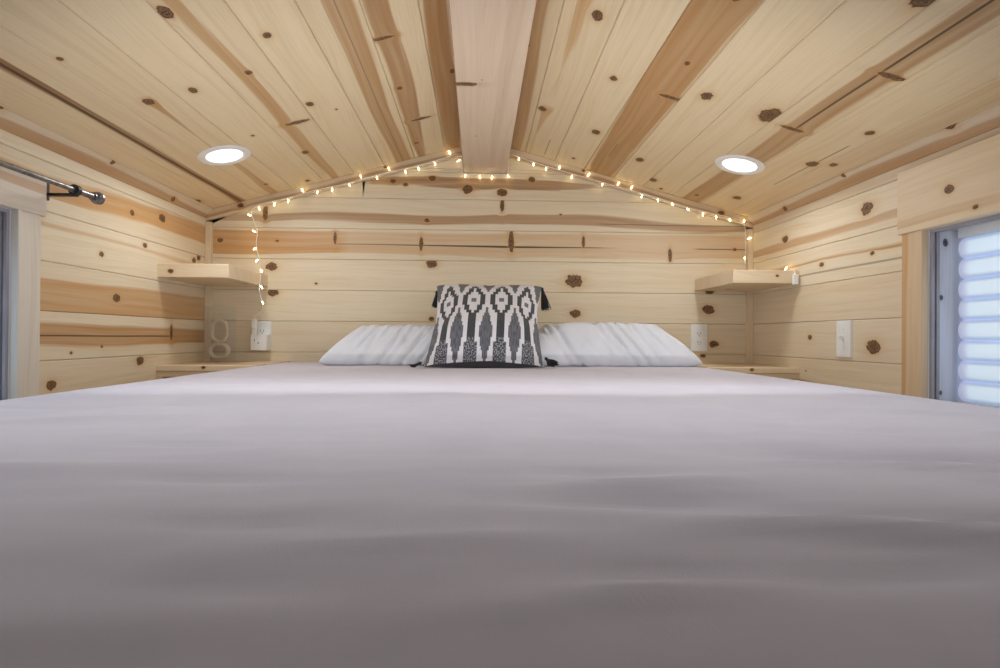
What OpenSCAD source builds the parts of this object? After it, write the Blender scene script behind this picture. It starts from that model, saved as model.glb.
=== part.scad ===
// Sleeping loft of a tiny house: the gable end bay with its roof, windows,
// knotty pine lining, built-in shelves and bed. Millimetres, Z up.
// X runs across the house, +Y points at the closed gable end, -Y is the open front.

/* [Room] */
// Clear width between the side wall boards
room_w = 2240; // [1860:10:2700]
// Clear depth from the end wall boards to the open front
room_d = 2438; // [2250:10:3600]
// Height of the ceiling boards over the floor at the side walls
eave_h = 821; // [800:1:1400]
// Slope of the roof in degrees
roof_pitch = 15.2; // [10:0.1:25]

/* [Wall and floor] */
// Thickness of the pine lining boards
lining_t = 19; // [12:1:25]
// Face width of one lining board, groove to groove
board_w = 126.5; // [80:0.5:200]
// Width of the V groove between two lining boards
groove_w = 5; // [2:0.5:8]
// Face width of the ceiling boards that lie along the ridge beam
first_board_w = 78; // [40:1:140]
// Studs and sheathing behind the lining
core_t = 101; // [70:1:150]
// Thickness of the outside boards
siding_t = 19; // [12:1:25]
// Exposed height of one outside board
siding_w = 140; // [90:1:220]
// Depth of the shadow line under each outside board
siding_lip = 8; // [4:1:11]
// Depth of the floor joists
joist_h = 140; // [89:1:184]
// Thickness of sawn framing lumber
lumber_t = 38; // [30:1:50]
// Distance between joists and between rafters
frame_step = 406; // [300:1:620]
// Thickness of the floor boards
deck_t = 22; // [16:1:38]

/* [Roof] */
// Depth of the rafters
rafter_h = 140; // [89:1:184]
// Thickness of the roof boards
roof_deck_t = 12; // [9:1:25]
// Thickness of the roof metal
metal_t = 2; // [1:0.5:4]
// Height of a standing seam
seam_h = 25; // [12:1:38]
// Width of a standing seam
seam_w = 8; // [5:1:15]
// Distance between standing seams
seam_step = 406; // [300:1:610]
// Leg of the ridge cap on each side
cap_w = 150; // [100:5:250]
// How far the rafter tails run past the siding
tail_over = 17; // [10:1:200]
// How far the roof runs past the gable siding
gable_over = 45; // [25:1:200]
// Thickness of fascia and barge boards
fascia_t = 19; // [12:1:25]
// Width of the barge boards
barge_w = 120; // [80:1:180]
// Width of the ridge beam
beam_w = 178; // [90:1:240]
// How far the ridge beam hangs below the ceiling at its sides
beam_drop = 104; // [40:1:180]

/* [Lining trim] */
// Leg of the cove between side wall and ceiling
cove_leg = 30; // [18:1:50]
// Width of the rake strips on the end wall
rake_w = 38; // [20:1:60]
// Thickness of the rake strips
rake_t = 19; // [10:1:25]
// Side of the square strips in the two corners
corner_w = 22; // [12:1:30]

/* [Windows] */
// Clear width of a window between its jamb boards
win_w = 914; // [500:1:1200]
// Clear height of a window between its jamb boards
win_h = 460; // [300:1:530]
// Top of the clear left window over the floor
left_win_top = 612; // [530:1:620]
// Top of the clear right window over the floor
right_win_top = 600; // [530:1:620]
// From the end wall to the nearer jamb of the left window
left_win_from_end = 961; // [700:1:1050]
// From the end wall to the nearer jamb of the right window
right_win_from_end = 934; // [730:1:1050]
// Thickness of the jamb boards
jamb_t = 16; // [12:1:25]
// Width of the side casings
casing_w = 68; // [40:1:90]
// Width of the head casing of the left window
left_head_w = 88; // [60:1:165]
// Width of the head casing of the right window
right_head_w = 167; // [60:1:170]
// How far a head casing runs past its side casings
head_over = 9; // [0:1:20]
// Thickness of the side casings
casing_t = 19; // [12:1:25]
// Thickness of the head casings
head_t = 24; // [15:1:38]
// Depth of the window frame through the wall
frame_d = 52; // [48:1:60]
// How far the window frame stands out of the siding
frame_proud = 5; // [0:1:12]
// Face width of the fixed window frame
frame_w = 34; // [20:1:50]
// Face width of a sash
sash_w = 32; // [20:1:45]
// Thickness of a sash
sash_t = 20; // [14:1:22]
// Thickness of the glass
glass_t = 4; // [3:1:6]
// Depth of one pleat of the shade
pleat_d = 22; // [12:1:26]
// Height of one pleat of the shade
pleat_h = 52; // [30:1:60]
// Thickness of the shade cloth
shade_t = 2; // [1:0.5:3]

/* [Shelves and bedside boxes] */
// Width of a corner shelf along the end wall
shelf_w = 240; // [150:5:320]
// Depth of a corner shelf along the side wall
shelf_d = 356; // [200:1:420]
// Thickness of a corner shelf
shelf_t = 47; // [25:1:60]
// Underside of the corner shelves over the floor
shelf_z = 518; // [420:1:560]
// Depth of a bedside box
box_d = 356; // [250:1:420]
// Height of a bedside box with its top
box_h = 217; // [180:1:260]
// Thickness of the bedside box boards
box_t = 20; // [15:1:25]
// Overhang of the bedside box top at the front
box_lip = 6; // [0:1:15]
// Width and depth of the square glass vase
vase_w = 92; // [70:1:110]
// Height of the glass vase
vase_h = 215; // [120:1:260]
// Thickness of the glass of the vase
vase_t = 4; // [3:0.5:6]
// Thickness of the base of the vase
vase_base = 12; // [5:1:20]
// From the left wall to the middle of the vase
vase_from_wall = 89; // [60:1:95]
// From the end wall to the middle of the vase
vase_from_end = 86; // [60:1:300]

/* [Fittings] */
// From a side wall to the middle of its downlight
light_from_wall = 280; // [220:5:400]
// From the end wall to the middle of a downlight
light_from_end = 486; // [430:1:700]
// Outer radius of a downlight trim ring
light_r = 79; // [76:1:95]
// Radius of the lit disc
lens_r = 55; // [35:1:60]
// Radius of the downlight body in the ceiling
can_r = 66; // [62:1:75]
// Depth of the downlight body over the ceiling face
can_h = 48; // [30:1:60]
// Width of a cover plate
plate_w = 70; // [65:1:90]
// Height of a cover plate
plate_h = 114; // [105:1:135]
// Thickness of a cover plate
plate_t = 6; // [4:1:8]
// Middle of the cover plates over the floor
plate_z = 322; // [300:1:420]
// From a side wall to the middle of its outlet
outlet_from_wall = 222; // [180:1:260]
// From the end wall to the middle of the switch
switch_from_end = 608; // [450:1:700]
// Diameter of the curtain rod
rod_d = 13; // [10:1:20]
// Distance of the curtain rod from the side wall boards
rod_off = 80; // [60:1:110]
// Height of the curtain rod over the floor
rod_z = 684; // [640:1:720]

/* [Bed] */
// Width of the mattress
bed_w = 1524; // [1320:1:1560]
// Length of the mattress
bed_d = 2032; // [1800:1:2080]
// Thickness of the mattress
bed_h = 204; // [150:1:240]
// Gap between the mattress and the end wall
bed_gap = 130; // [60:1:160]
// Thickness of the quilt
quilt_t = 16; // [8:1:25]
// Width of a pillow
pillow_w = 650; // [500:5:720]
// Depth of a pillow
pillow_d = 350; // [300:5:420]
// Height of the right pillow
pillow_h = 154; // [90:1:185]
// How much flatter the left pillow is
pillow_flat = 12; // [0:1:30]
// Gap between the two pillows
pillow_gap = 22; // [5:1:60]
// From the middle of the room to the middle of that gap
pillow_shift = 94; // [0:1:120]
// From the end wall to the back of the pillows
pillow_from_end = 75; // [40:1:160]
// Side of the square accent cushion
cushion_w = 410; // [300:5:450]
// Thickness of the accent cushion
cushion_t = 120; // [80:1:150]
// How far the cushion stands up from lying flat, in degrees
cushion_tilt = 46; // [35:1:70]

/* [Hidden] */

pine = "burlywood";
pine_pale = "wheat";
pine_warm = "peru";
white = "white";

slope = tan(roof_pitch);
floor_z = joist_h + deck_t;
in_x = room_w / 2;
core_x = in_x + lining_t;
core_out = core_x + core_t;
wall_out = core_out + siding_t;
tail_x = wall_out + tail_over;
eave_x = tail_x + fascia_t;

total_d = room_d + lining_t + core_t + siding_t + gable_over;
y_front = -total_d / 2;
y_end = y_front + room_d;
y_core = y_end + lining_t;
y_core_out = y_core + core_t;
y_wall_out = y_core_out + siding_t;
y_back = y_wall_out + gable_over;

ridge_z = floor_z + eave_h + slope * in_x;
beam_x = beam_w / 2;
beam_z = ceil_z(beam_x) - beam_drop;
deck_lo = lining_t + rafter_h;
metal_lo = deck_lo + roof_deck_t;
seam_lo = metal_lo + metal_t;
seat_z = over(core_x, lining_t);

// Clear opening of each window, the left one first
win_y1 = [y_end - left_win_from_end, y_end - right_win_from_end];
win_y0 = win_y1 - [win_w, win_w];
win_z1 = [floor_z + left_win_top, floor_z + right_win_top];
win_z0 = win_z1 - [win_h, win_h];
head_w = [left_head_w, right_head_w];
unit_x1 = wall_out + frame_proud;
unit_x0 = unit_x1 - frame_d;

bed_y1 = y_end - bed_gap;
bed_y0 = bed_y1 - bed_d;
bed_z = floor_z + bed_h;
bed_r = 70;
quilt_gap = 1;
quilt_hem = 25;
quilt_z = bed_z + quilt_gap + quilt_t;
quilt_x = bed_w / 2 + quilt_gap + quilt_t;
box_gap = 8;
box_x0 = quilt_x + box_gap;
soft_gap = 0.5;
light_x = in_x - light_from_wall;
outlet_x = in_x - outlet_from_wall;

// Ceiling face at distance x from the middle, and a level t above it, square to the slope
function ceil_z(x) = ridge_z - slope * abs(x);
function over(x, t) = ceil_z(x) + t / cos(roof_pitch);
function bezier(a, b, c, t) = (1 - t) * (1 - t) * a + 2 * t * (1 - t) * b + t * t * c;

// A profile in X and Z run along Y, and one in Y and Z run along X
module along_y(y0, y1) translate([0, y1, 0]) rotate([90, 0, 0]) linear_extrude(y1 - y0) children();
module along_x(x0, x1) translate([x0, 0, 0]) rotate([90, 0, 90]) linear_extrude(x1 - x0) children();
module block(lo, hi) translate(lo) cube(hi - lo);
module left() mirror([1, 0, 0]) children();
module both() {
    children();
    mirror([1, 0, 0]) children();
}
// The left side of the room is side 0, the right side is side 1
module on_side(side) mirror([1 - side, 0, 0]) children();

// A layer of the right roof slope between two levels above the ceiling face
module roof_layer(x0, x1, lo, hi, y0, y1)
    along_y(y0, y1) polygon([
        [x0, over(x0, lo)], [x1, over(x1, lo)], [x1, over(x1, hi)], [x0, over(x0, hi)]
    ]);

// Something placed on the right ceiling slope, +Z out of the roof
module on_ceiling(x, y) translate([x, y, ceil_z(x)]) rotate([0, roof_pitch, 0]) children();

// Section of a V groove that points into a board along +X
module v_groove()
    polygon([[-0.01, -groove_w / 2], [groove_w / 2, 0], [-0.01, groove_w / 2]]);

// Opening for a window unit and its jambs, through the wall
module window_hole(side, x0, x1)
    block([x0, win_y0[side] - jamb_t, win_z0[side] - jamb_t],
        [x1, win_y1[side] + jamb_t, win_z1[side] + jamb_t]);

// Ring of four boards round a window, in Y and Z, set out by the clear opening
module window_ring(side, inner, outer)
    translate([win_y0[side], win_z0[side]]) difference() {
        translate([-outer, -outer]) square([win_w + 2 * outer, win_h + 2 * outer]);
        translate([-inner, -inner]) square([win_w + 2 * inner, win_h + 2 * inner]);
    }

// Positions of joists and rafters, stepped from the closed end towards the open front
function frame_rows(y_last) =
    [for (y = y_last - lumber_t; y > y_front + 2 * lumber_t; y = y - frame_step) y];

module floor_joists() color(pine_pale)
    for (y = concat(frame_rows(y_core), [y_front]))
        block([-core_x, y, 0], [core_x, y + lumber_t, joist_h]);

module floor_deck() color(pine)
    block([-core_x, y_front, joist_h], [core_x, y_core, floor_z]);

module side_wall(side) color(pine_pale)
    on_side(side) difference() {
        block([core_x, y_front, 0], [core_out, y_core_out, seat_z]);
        window_hole(side, core_x - 1, core_out + 1);
    }

module left_wall() side_wall(0);
module right_wall() side_wall(1);

module end_wall() color(pine_pale)
    along_y(y_core, y_core_out) difference() {
        polygon([[-core_x, 0], [core_x, 0], [core_x, seat_z],
            [0, over(0, lining_t)], [-core_x, seat_z]]);
        translate([-beam_x, beam_z]) square([beam_w, beam_w * 3]);
    }

// Outside boards with a shadow line at each course
top_siding_min = 20;
module siding_face(h) difference() {
    square([siding_t, h]);
    for (z = [siding_w : siding_w : h - top_siding_min])
        translate([siding_t + 0.01, z]) rotate(180)
            polygon([[0, 0], [siding_lip, 0], [0, siding_lip + 2]]);
}

module side_siding(side) color(pine)
    on_side(side) difference() {
        along_y(y_front, y_wall_out) translate([core_out, 0]) siding_face(over(wall_out, lining_t));
        window_hole(side, core_out - 1, wall_out + 1);
    }

module left_siding() side_siding(0);
module right_siding() side_siding(1);

module end_siding() color(pine)
    intersection() {
        along_x(-core_out, core_out) translate([y_core_out, 0]) siding_face(over(0, deck_lo));
        along_y(y_core_out - 1, y_wall_out + 1) polygon([
            [-core_out, 0], [core_out, 0], [core_out, over(core_out, deck_lo)],
            [0, over(0, deck_lo)], [-core_out, over(core_out, deck_lo)]
        ]);
    }

// Lining boards run level on the walls, with a V groove at each joint
last_board_min = 10;
module wall_grooves(z_top)
    for (z = [floor_z + board_w : board_w : z_top - last_board_min]) translate([0, z]) children();

module side_lining(side) color(pine)
    on_side(side) difference() {
        along_y(y_front, y_end) difference() {
            translate([in_x, floor_z]) square([lining_t, ceil_z(core_x) - floor_z]);
            wall_grooves(ceil_z(core_x)) translate([in_x, 0]) v_groove();
        }
        window_hole(side, in_x - 1, core_x + 1);
    }

module left_lining() side_lining(0);
module right_lining() side_lining(1);

module end_lining() color(pine)
    intersection() {
        along_x(-core_x, core_x) difference() {
            translate([y_end, floor_z]) square([lining_t, ridge_z - floor_z]);
            wall_grooves(ridge_z) translate([y_end, 0]) v_groove();
        }
        along_y(y_end - 1, y_core + 1) difference() {
            polygon([[-core_x, 0], [core_x, 0], [core_x, ceil_z(core_x)],
                [0, ridge_z], [-core_x, ceil_z(core_x)]]);
            translate([-beam_x, beam_z]) square([beam_w, beam_w * 3]);
        }
    }

// Ceiling boards run along the house, so the grooves are set out down the slope
can_gap = 2;
module right_ceiling() color(pine)
    difference() {
        roof_layer(beam_x, core_x, 0, lining_t, y_front, y_core);
        for (s = [first_board_w : board_w : (core_x - beam_x) / cos(roof_pitch) - last_board_min])
            on_ceiling(beam_x + s * cos(roof_pitch), y_front - 1) rotate([-90, 0, 0])
                linear_extrude(y_core - y_front + 2)
                    polygon([[-groove_w / 2, 0.01], [0, -groove_w / 2], [groove_w / 2, 0.01]]);
        on_ceiling(light_x, y_end - light_from_end)
            translate([0, 0, -lining_t]) cylinder(h = 3 * lining_t, r = can_r + can_gap, $fn = 96);
    }

module left_ceiling() left() right_ceiling();

// Rafter with a birdsmouth that seats on the wall and a plumb cut tail
module rafters() color(pine_pale)
    both() for (y = concat(frame_rows(y_core_out), [y_front]))
        along_y(y, y + lumber_t) polygon([
            [beam_x, over(beam_x, lining_t)], [core_x, seat_z], [core_out, seat_z],
            [core_out, over(core_out, lining_t)], [tail_x, over(tail_x, lining_t)],
            [tail_x, over(tail_x, deck_lo)], [beam_x, over(beam_x, deck_lo)]
        ]);

module ridge_beam() color(pine_warm)
    along_y(y_front, y_core_out) polygon([
        [-beam_x, beam_z], [beam_x, beam_z], [beam_x, over(beam_x, deck_lo)],
        [0, over(0, deck_lo)], [-beam_x, over(beam_x, deck_lo)]
    ]);

module roof_deck_right() color(pine_pale)
    roof_layer(0, eave_x, deck_lo, metal_lo, y_front, y_back);

module roof_deck_left() left() roof_deck_right();

module roof_metal_right() color("dimgray")
    roof_layer(0, eave_x, metal_lo, seam_lo, y_front, y_back);

module roof_metal_left() left() roof_metal_right();

// Standing seams between the roof sheets, running down the slope from under the ridge cap
module roof_seams() color("dimgray")
    both() for (y = concat([for (y = [y_front : seam_step : y_back - 2 * seam_w]) y], [y_back - seam_w]))
        roof_layer(cap_w / 3, eave_x, seam_lo, seam_lo + seam_h, y, y + seam_w);

module ridge_cap() color("dimgray") {
    cap_lo = seam_lo + seam_h;
    both() roof_layer(0, cap_w, cap_lo, cap_lo + metal_t, y_front, y_back);
}

// Fascia on the rafter tails, and the short soffit behind it under the rafters
soffit_t = 12;
module eave_fascias() color(pine)
    both() along_y(y_front, y_back) polygon([
        [tail_x, over(tail_x, lining_t) - soffit_t], [tail_x, over(tail_x, deck_lo)],
        [eave_x, over(eave_x, deck_lo)], [eave_x, over(eave_x, lining_t) - soffit_t]
    ]);

module eave_soffits() color(pine)
    both() roof_layer(wall_out, tail_x, lining_t - soffit_t * cos(roof_pitch), lining_t,
        y_front, y_wall_out);

module barge_boards() color(pine)
    both() roof_layer(0, tail_x, deck_lo - barge_w, deck_lo, y_back - fascia_t, y_back);

// Cove with small fillets, in the corner of wall and ceiling
module eave_coves() color(pine_pale) {
    corner = [in_x, ceil_z(in_x)];
    on_slope = corner + cove_leg * [-cos(roof_pitch), sin(roof_pitch)];
    lip = 4;
    start = corner + [-lip, -cove_leg];
    finish = on_slope + lip * [-sin(roof_pitch), -cos(roof_pitch)];
    bend = corner + [-lip * 2.5, -lip * 2.5];
    both() along_y(y_front, y_end - rake_t) polygon(concat(
        [corner, corner + [0, -cove_leg]],
        [for (i = [0 : 8]) bezier(start, bend, finish, i / 8)],
        [on_slope]
    ));
}

module rake_strips() color(pine_warm)
    both() roof_layer(beam_x, in_x, -rake_w, 0, y_end - rake_t, y_end);

// Square strips in the corners, cut where the shelf and the bedside box stand
module corner_strips() color(pine_pale)
    both() for (z = [
        [floor_z + box_h, floor_z + shelf_z],
        [floor_z + shelf_z + shelf_t, over(in_x - corner_w, -rake_w) - slope * corner_w]
    ]) block([in_x - corner_w, y_end - corner_w, z[0]], [in_x, y_end, z[1]]);

// Side casings between a sill casing and a head casing that runs past them
module casing(side) color(pine_pale) on_side(side) {
    y0 = win_y0[side] - casing_w;
    y1 = win_y1[side] + casing_w;
    for (y = [y0, win_y1[side]])
        block([in_x - casing_t, y, win_z0[side]], [in_x, y + casing_w, win_z1[side]]);
    block([in_x - head_t, y0 - head_over, win_z1[side]],
        [in_x, y1 + head_over, win_z1[side] + head_w[side]]);
    block([in_x - head_t, y0, win_z0[side] - casing_w], [in_x, y1, win_z0[side]]);
}

module left_casing() casing(0);
module right_casing() casing(1);

module outside_casings() color(pine)
    for (side = [0, 1])
        on_side(side) along_x(wall_out, wall_out + casing_t)
            window_ring(side, jamb_t + 4, jamb_t + 4 + casing_w);

module jamb(side) color("gainsboro")
    on_side(side) along_x(in_x, unit_x0) window_ring(side, 0, jamb_t);

module left_jamb() jamb(0);
module right_jamb() jamb(1);

// Grey stop with one groove along its face, just inside the casing
stop_w = 20;
stop_t = 8;
stop_groove = 6;
stop_x = in_x + 2;

module window_stops() color("gray")
    for (side = [0, 1]) on_side(side) difference() {
        along_x(stop_x, stop_x + stop_w) window_ring(side, -stop_t, 0);
        along_x(stop_x + (stop_w - stop_groove) / 2, stop_x + (stop_w + stop_groove) / 2)
            window_ring(side, -stop_t - 1, -3);
    }

// Fixed frame with two sashes that pass each other at the middle
sash_x = [unit_x0 + 5, unit_x0 + 5 + sash_t + 2];
frame_clear = frame_w - jamb_t;
sash_span = [win_w / 2 - frame_clear + sash_w / 2, win_h - 2 * frame_clear];

// A sash in Y and Z, or its pane, grown by grow on every side
module sash_plan(side, i, grow)
    translate([
        win_y0[side] + (i == 0 ? frame_clear : win_w / 2 - sash_w / 2) - grow,
        win_z0[side] + frame_clear - grow
    ]) square(sash_span + 2 * [grow, grow]);

module window_frame(side) color(white) on_side(side) {
    along_x(unit_x0, unit_x1) window_ring(side, -frame_clear, jamb_t - 1);
    for (i = [0, 1])
        along_x(sash_x[i], sash_x[i] + sash_t) difference() {
            sash_plan(side, i, 0.5);
            sash_plan(side, i, -sash_w);
        }
}

module left_window_frame() window_frame(0);
module right_window_frame() window_frame(1);

module window_glass() color("lightblue", 0.4)
    for (side = [0, 1], i = [0, 1]) {
        middle = sash_x[i] + (sash_t - glass_t) / 2;
        on_side(side) along_x(middle, middle + glass_t) sash_plan(side, i, -sash_w);
    }

// Shade in the right window, folded into even pleats between its two rails
shade_back = 4;
shade_side = 12;
shade_under = 3;
rail_h = 22;
shade_x = unit_x0 - shade_back - pleat_d;
shade_y = [win_y0[1] + shade_side, win_y1[1] - shade_side];
shade_z0 = win_z0[1] + rail_h + shade_under;
shade_z1 = win_z1[1] - rail_h;
pleats = round((shade_z1 - shade_z0) / pleat_h);
pleat_step = (shade_z1 - shade_z0) / pleats;

module pleated_shade() color("aliceblue")
    along_y(shade_y[0], shade_y[1]) polygon(concat(
        [for (i = [0 : 2 * pleats])
            [shade_x + (i % 2) * (pleat_d - shade_t), shade_z0 + i * pleat_step / 2]],
        [for (i = [2 * pleats : -1 : 0])
            [shade_x + shade_t + (i % 2) * (pleat_d - shade_t), shade_z0 + i * pleat_step / 2]]
    ));

module shade_rails() color(white)
    for (z = [shade_z0 - rail_h, shade_z1])
        block([shade_x, shade_y[0], z], [shade_x + pleat_d, shade_y[1], z + rail_h]);

// Corner shelf with its free corner eased
ease = 3;
module right_shelf() color(pine_pale)
    translate([0, 0, floor_z + shelf_z]) linear_extrude(shelf_t) polygon([
        [in_x, y_end], [in_x - shelf_w, y_end], [in_x - shelf_w, y_end - shelf_d + ease],
        [in_x - shelf_w + ease, y_end - shelf_d], [in_x, y_end - shelf_d]
    ]);

module left_shelf() left() right_shelf();

// Open box beside the mattress, with its front open towards the foot of the bed
module right_bedside_box() color(pine)
    difference() {
        block([box_x0, y_end - box_d, floor_z], [in_x, y_end, floor_z + box_h - box_t]);
        block([box_x0 + box_t, y_end - box_d - 1, floor_z + box_t],
            [in_x - box_t, y_end - box_t, floor_z + box_h - 2 * box_t]);
    }

module left_bedside_box() left() right_bedside_box();

module bedside_tops() color(pine_pale)
    both() block([box_x0, y_end - box_d - box_lip, floor_z + box_h - box_t],
        [in_x, y_end, floor_z + box_h]);

// Square glass vase on the left bedside box, with two hanks of thin rope standing in it
rope_d = 5;
module at_vase() translate([vase_from_wall - in_x, y_end - vase_from_end, floor_z + box_h]) children();

module glass_vase() color("lightcyan", 0.3)
    at_vase() difference() {
        translate([-vase_w / 2, -vase_w / 2, 0]) cube([vase_w, vase_w, vase_h]);
        translate([vase_t - vase_w / 2, vase_t - vase_w / 2, vase_base])
            cube([vase_w - 2 * vase_t, vase_w - 2 * vase_t, vase_h]);
    }

// Outline with round ends, as wide as w and as tall as h
module round_ended(w, h) {
    core = 0.2;
    r = (min(w, h) - core) / 2;
    offset(r = r, $fn = 48) square([w - 2 * r, h - 2 * r], center = true);
}

// Rope wound into a long ring, standing in X and Z
module hank(w, h, turns_w, turns_d)
    rotate([90, 0, 0]) translate([0, 0, -turns_d / 2]) linear_extrude(turns_d) difference() {
        round_ended(w, h);
        round_ended(w - 2 * turns_w, h - 2 * turns_w);
    }

// Each hank: width, height, height of its middle over the inside of the base
hanks = [[78, 60, 30.5], [66, 92, 107]];
hank_turns = [2 * rope_d, 4 * rope_d];

module rope_hanks() color("wheat")
    at_vase() for (k = hanks)
        translate([0, 0, vase_base + k[2]]) hank(k[0], k[1], hank_turns[0], hank_turns[1]);

// Trim ring flush on the ceiling with the lamp body behind it
trim_h = 4;
trim_edge = 6;
can_t = 4;
lens_t = 3;
module downlight_trims() color(white)
    both() on_ceiling(light_x, y_end - light_from_end) rotate_extrude($fn = 96) polygon([
        [lens_r, -1], [lens_r + can_t, -trim_h], [light_r - trim_edge, -trim_h], [light_r, 0], [can_r, 0],
        [can_r, can_h], [0, can_h], [0, can_h - can_t], [can_r - can_t, can_h - can_t],
        [can_r - can_t, lens_t], [lens_r, lens_t]
    ]);

module downlight_lenses() color("ivory")
    both() on_ceiling(light_x, y_end - light_from_end) translate([0, 0, -1])
        cylinder(h = lens_t, r = lens_r, $fn = 96);

// A plate centred in X and Z that stands t out of the wall towards -Y, origin on the wall
module face_plate(w, h, t) rotate([90, 0, 0]) translate([-w / 2, -h / 2, 0]) cube([w, h, t]);

module cover_plate() {
    step = 2;
    face_plate(plate_w, plate_h, plate_t - step);
    face_plate(plate_w - 2 * step, plate_h - 2 * step, plate_t);
}

// Duplex outlet: a raised face with two blade slots and a round earth hole per socket
socket_w = 34;
socket_h = 66;
socket_t = plate_t + 1.5;
socket_z = 18;
slot = [2, 4, 8];
slot_x = 6;
earth_r = 2.2;
earth_z = -9;
module outlets() color(white)
    both() translate([outlet_x, y_end, floor_z + plate_z]) difference() {
        union() {
            cover_plate();
            face_plate(socket_w, socket_h, socket_t);
        }
        for (z = [-socket_z, socket_z])
            translate([0, 1 - slot[1] - plate_t, z]) {
                for (x = [-slot_x, slot_x]) translate([x - slot[0] / 2, 0, -slot[2] / 2]) cube(slot);
                translate([0, slot[1], earth_z]) rotate([90, 0, 0])
                    cylinder(h = slot[1], r = earth_r, $fn = 24);
            }
    }

// Toggle switch with its lever up
lever = [7, 8, 15];
lever_tilt = 68;
lever_frame = [10, 24];
module light_switch() color(white)
    translate([in_x, y_end - switch_from_end, floor_z + plate_z]) rotate([0, 0, -90]) {
        cover_plate();
        face_plate(lever_frame[0], lever_frame[1], plate_t + 1);
        translate([0, -plate_t, 0]) rotate([lever_tilt, 0, 0])
            translate([-lever[0] / 2, -lever[1] / 2, 0]) cube(lever);
    }

// Curtain rod over the left window, on brackets just past the ends of the head casing
rod_x = in_x - rod_off;
bracket_w = 30;
bracket_t = 6;
bracket_z = [-24, 20];
bracket_out = casing_w + head_over + bracket_w / 2 + 4;
arm_h = 7;
arm_past = 4;
bracket_y = [win_y1[0] + bracket_out, win_y0[0] - bracket_out];
rod_half = (bracket_y[0] - bracket_y[1]) / 2;
sleeve_l = 62;
sleeve_d = rod_d + 3;
ring_t = 12;
ring_wall = 5.5;
knob_profile = [
    [0, 0], [11, 0], [11, 4], [8, 5], [8, 9],
    [14, 11], [17, 18], [17, 26], [13, 32], [0, 34]
];

// Rod with a wider end sleeve and a stepped knob at each end
module curtain_rod() color("silver")
    left() for (end = [1, -1])
        translate([rod_x, end > 0 ? bracket_y[0] : bracket_y[1], floor_z + rod_z])
            rotate([-90 * end, 0, 0]) {
                translate([0, 0, -ring_t]) cylinder(h = sleeve_l + ring_t, d = sleeve_d, $fn = 48);
                translate([0, 0, sleeve_l]) rotate_extrude($fn = 48) polygon(knob_profile);
                translate([0, 0, -rod_half]) cylinder(h = rod_half + 1, d = rod_d, $fn = 48);
            }

module rod_brackets() color("dimgray")
    left() for (y = bracket_y) translate([0, y, floor_z + rod_z]) {
        block([in_x - bracket_t, -bracket_w / 2, bracket_z[0]], [in_x, bracket_w / 2, bracket_z[1]]);
        block([rod_x - arm_past, -ring_t / 2, -sleeve_d / 2 - 1 - arm_h],
            [in_x - bracket_t, ring_t / 2, -sleeve_d / 2 - 1]);
        translate([rod_x, ring_t / 2, 0]) rotate([90, 0, 0]) difference() {
            cylinder(h = ring_t, d = sleeve_d + 2 * ring_wall, $fn = 48);
            translate([0, 0, -1]) cylinder(h = ring_t + 2, d = sleeve_d + 0.4, $fn = 48);
        }
    }

module rounded_plan(x, y0, y1, r) {
    translate([-x, y0 + r]) square([2 * x, y1 - y0 - 2 * r]);
    translate([r - x, y0]) square([2 * (x - r), y1 - y0]);
    for (sx = [-1, 1], y = [y0 + r, y1 - r]) translate([sx * (x - r), y]) circle(r, $fn = 48);
}

module mattress() color("whitesmoke")
    translate([0, 0, floor_z]) linear_extrude(bed_h) rounded_plan(bed_w / 2, bed_y0, bed_y1, bed_r);

// Quilt over the mattress, hanging down its sides to just above the floor
module quilt() color("lavender") {
    hem_z = floor_z + quilt_hem;
    grow = quilt_gap + quilt_t;
    difference() {
        translate([0, 0, hem_z]) linear_extrude(quilt_z - hem_z)
            rounded_plan(quilt_x, bed_y0 - grow, bed_y1 + grow, bed_r + grow);
        translate([0, 0, hem_z - 1]) linear_extrude(bed_z + quilt_gap - hem_z + 1)
            rounded_plan(bed_w / 2 + quilt_gap, bed_y0 - quilt_gap, bed_y1 + quilt_gap, bed_r + quilt_gap);
    }
}

// Plump form with thin corners, lying flat, origin at the middle of its underside
edge_r = 16;
corner_in = 4;
corner_h = 0.38;
crown_w = 0.8;
crown_d = 0.86;
module pillow_form(w, d, h) hull() {
    for (x = [-1, 1], y = [-1, 1])
        translate([x * (w / 2 - edge_r - corner_in), y * (d / 2 - edge_r - corner_in), h * corner_h])
            sphere(edge_r, $fn = 12);
    translate([0, 0, h / 2]) resize([w * crown_w, d * crown_d, h]) sphere(50, $fn = 28);
}

pillow_y = y_end - pillow_from_end - pillow_d / 2;
pillow_out = (pillow_w + pillow_gap) / 2;
module left_pillow() color("white")
    translate([pillow_shift - pillow_out, pillow_y, quilt_z + soft_gap])
        pillow_form(pillow_w, pillow_d, pillow_h - pillow_flat);

module right_pillow() color("white")
    translate([pillow_shift + pillow_out, pillow_y, quilt_z + soft_gap])
        pillow_form(pillow_w, pillow_d, pillow_h);

// Cushion standing on its lower edge and leaning back on the crowns of the pillows,
// settled a little way into the dip between them
cushion_x = 5;
cushion_nest = 12;
foot_drop = (edge_r + corner_in) * sin(cushion_tilt) + corner_h * cushion_t * cos(cushion_tilt) - edge_r;
pillow_reach = norm([crown_d * pillow_d / 2 * sin(cushion_tilt), pillow_h / 2 * cos(cushion_tilt)]);
lean = (pillow_h / 2 + foot_drop) * cos(cushion_tilt) + pillow_reach - cushion_nest;
cushion_foot_y = pillow_y - lean / sin(cushion_tilt);

module accent_cushion() color("slategray")
    translate([cushion_x, cushion_foot_y, quilt_z + soft_gap - foot_drop])
        rotate([cushion_tilt, 0, 0])
            translate([0, cushion_w / 2, 0]) pillow_form(cushion_w, cushion_w, cushion_t);

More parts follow.
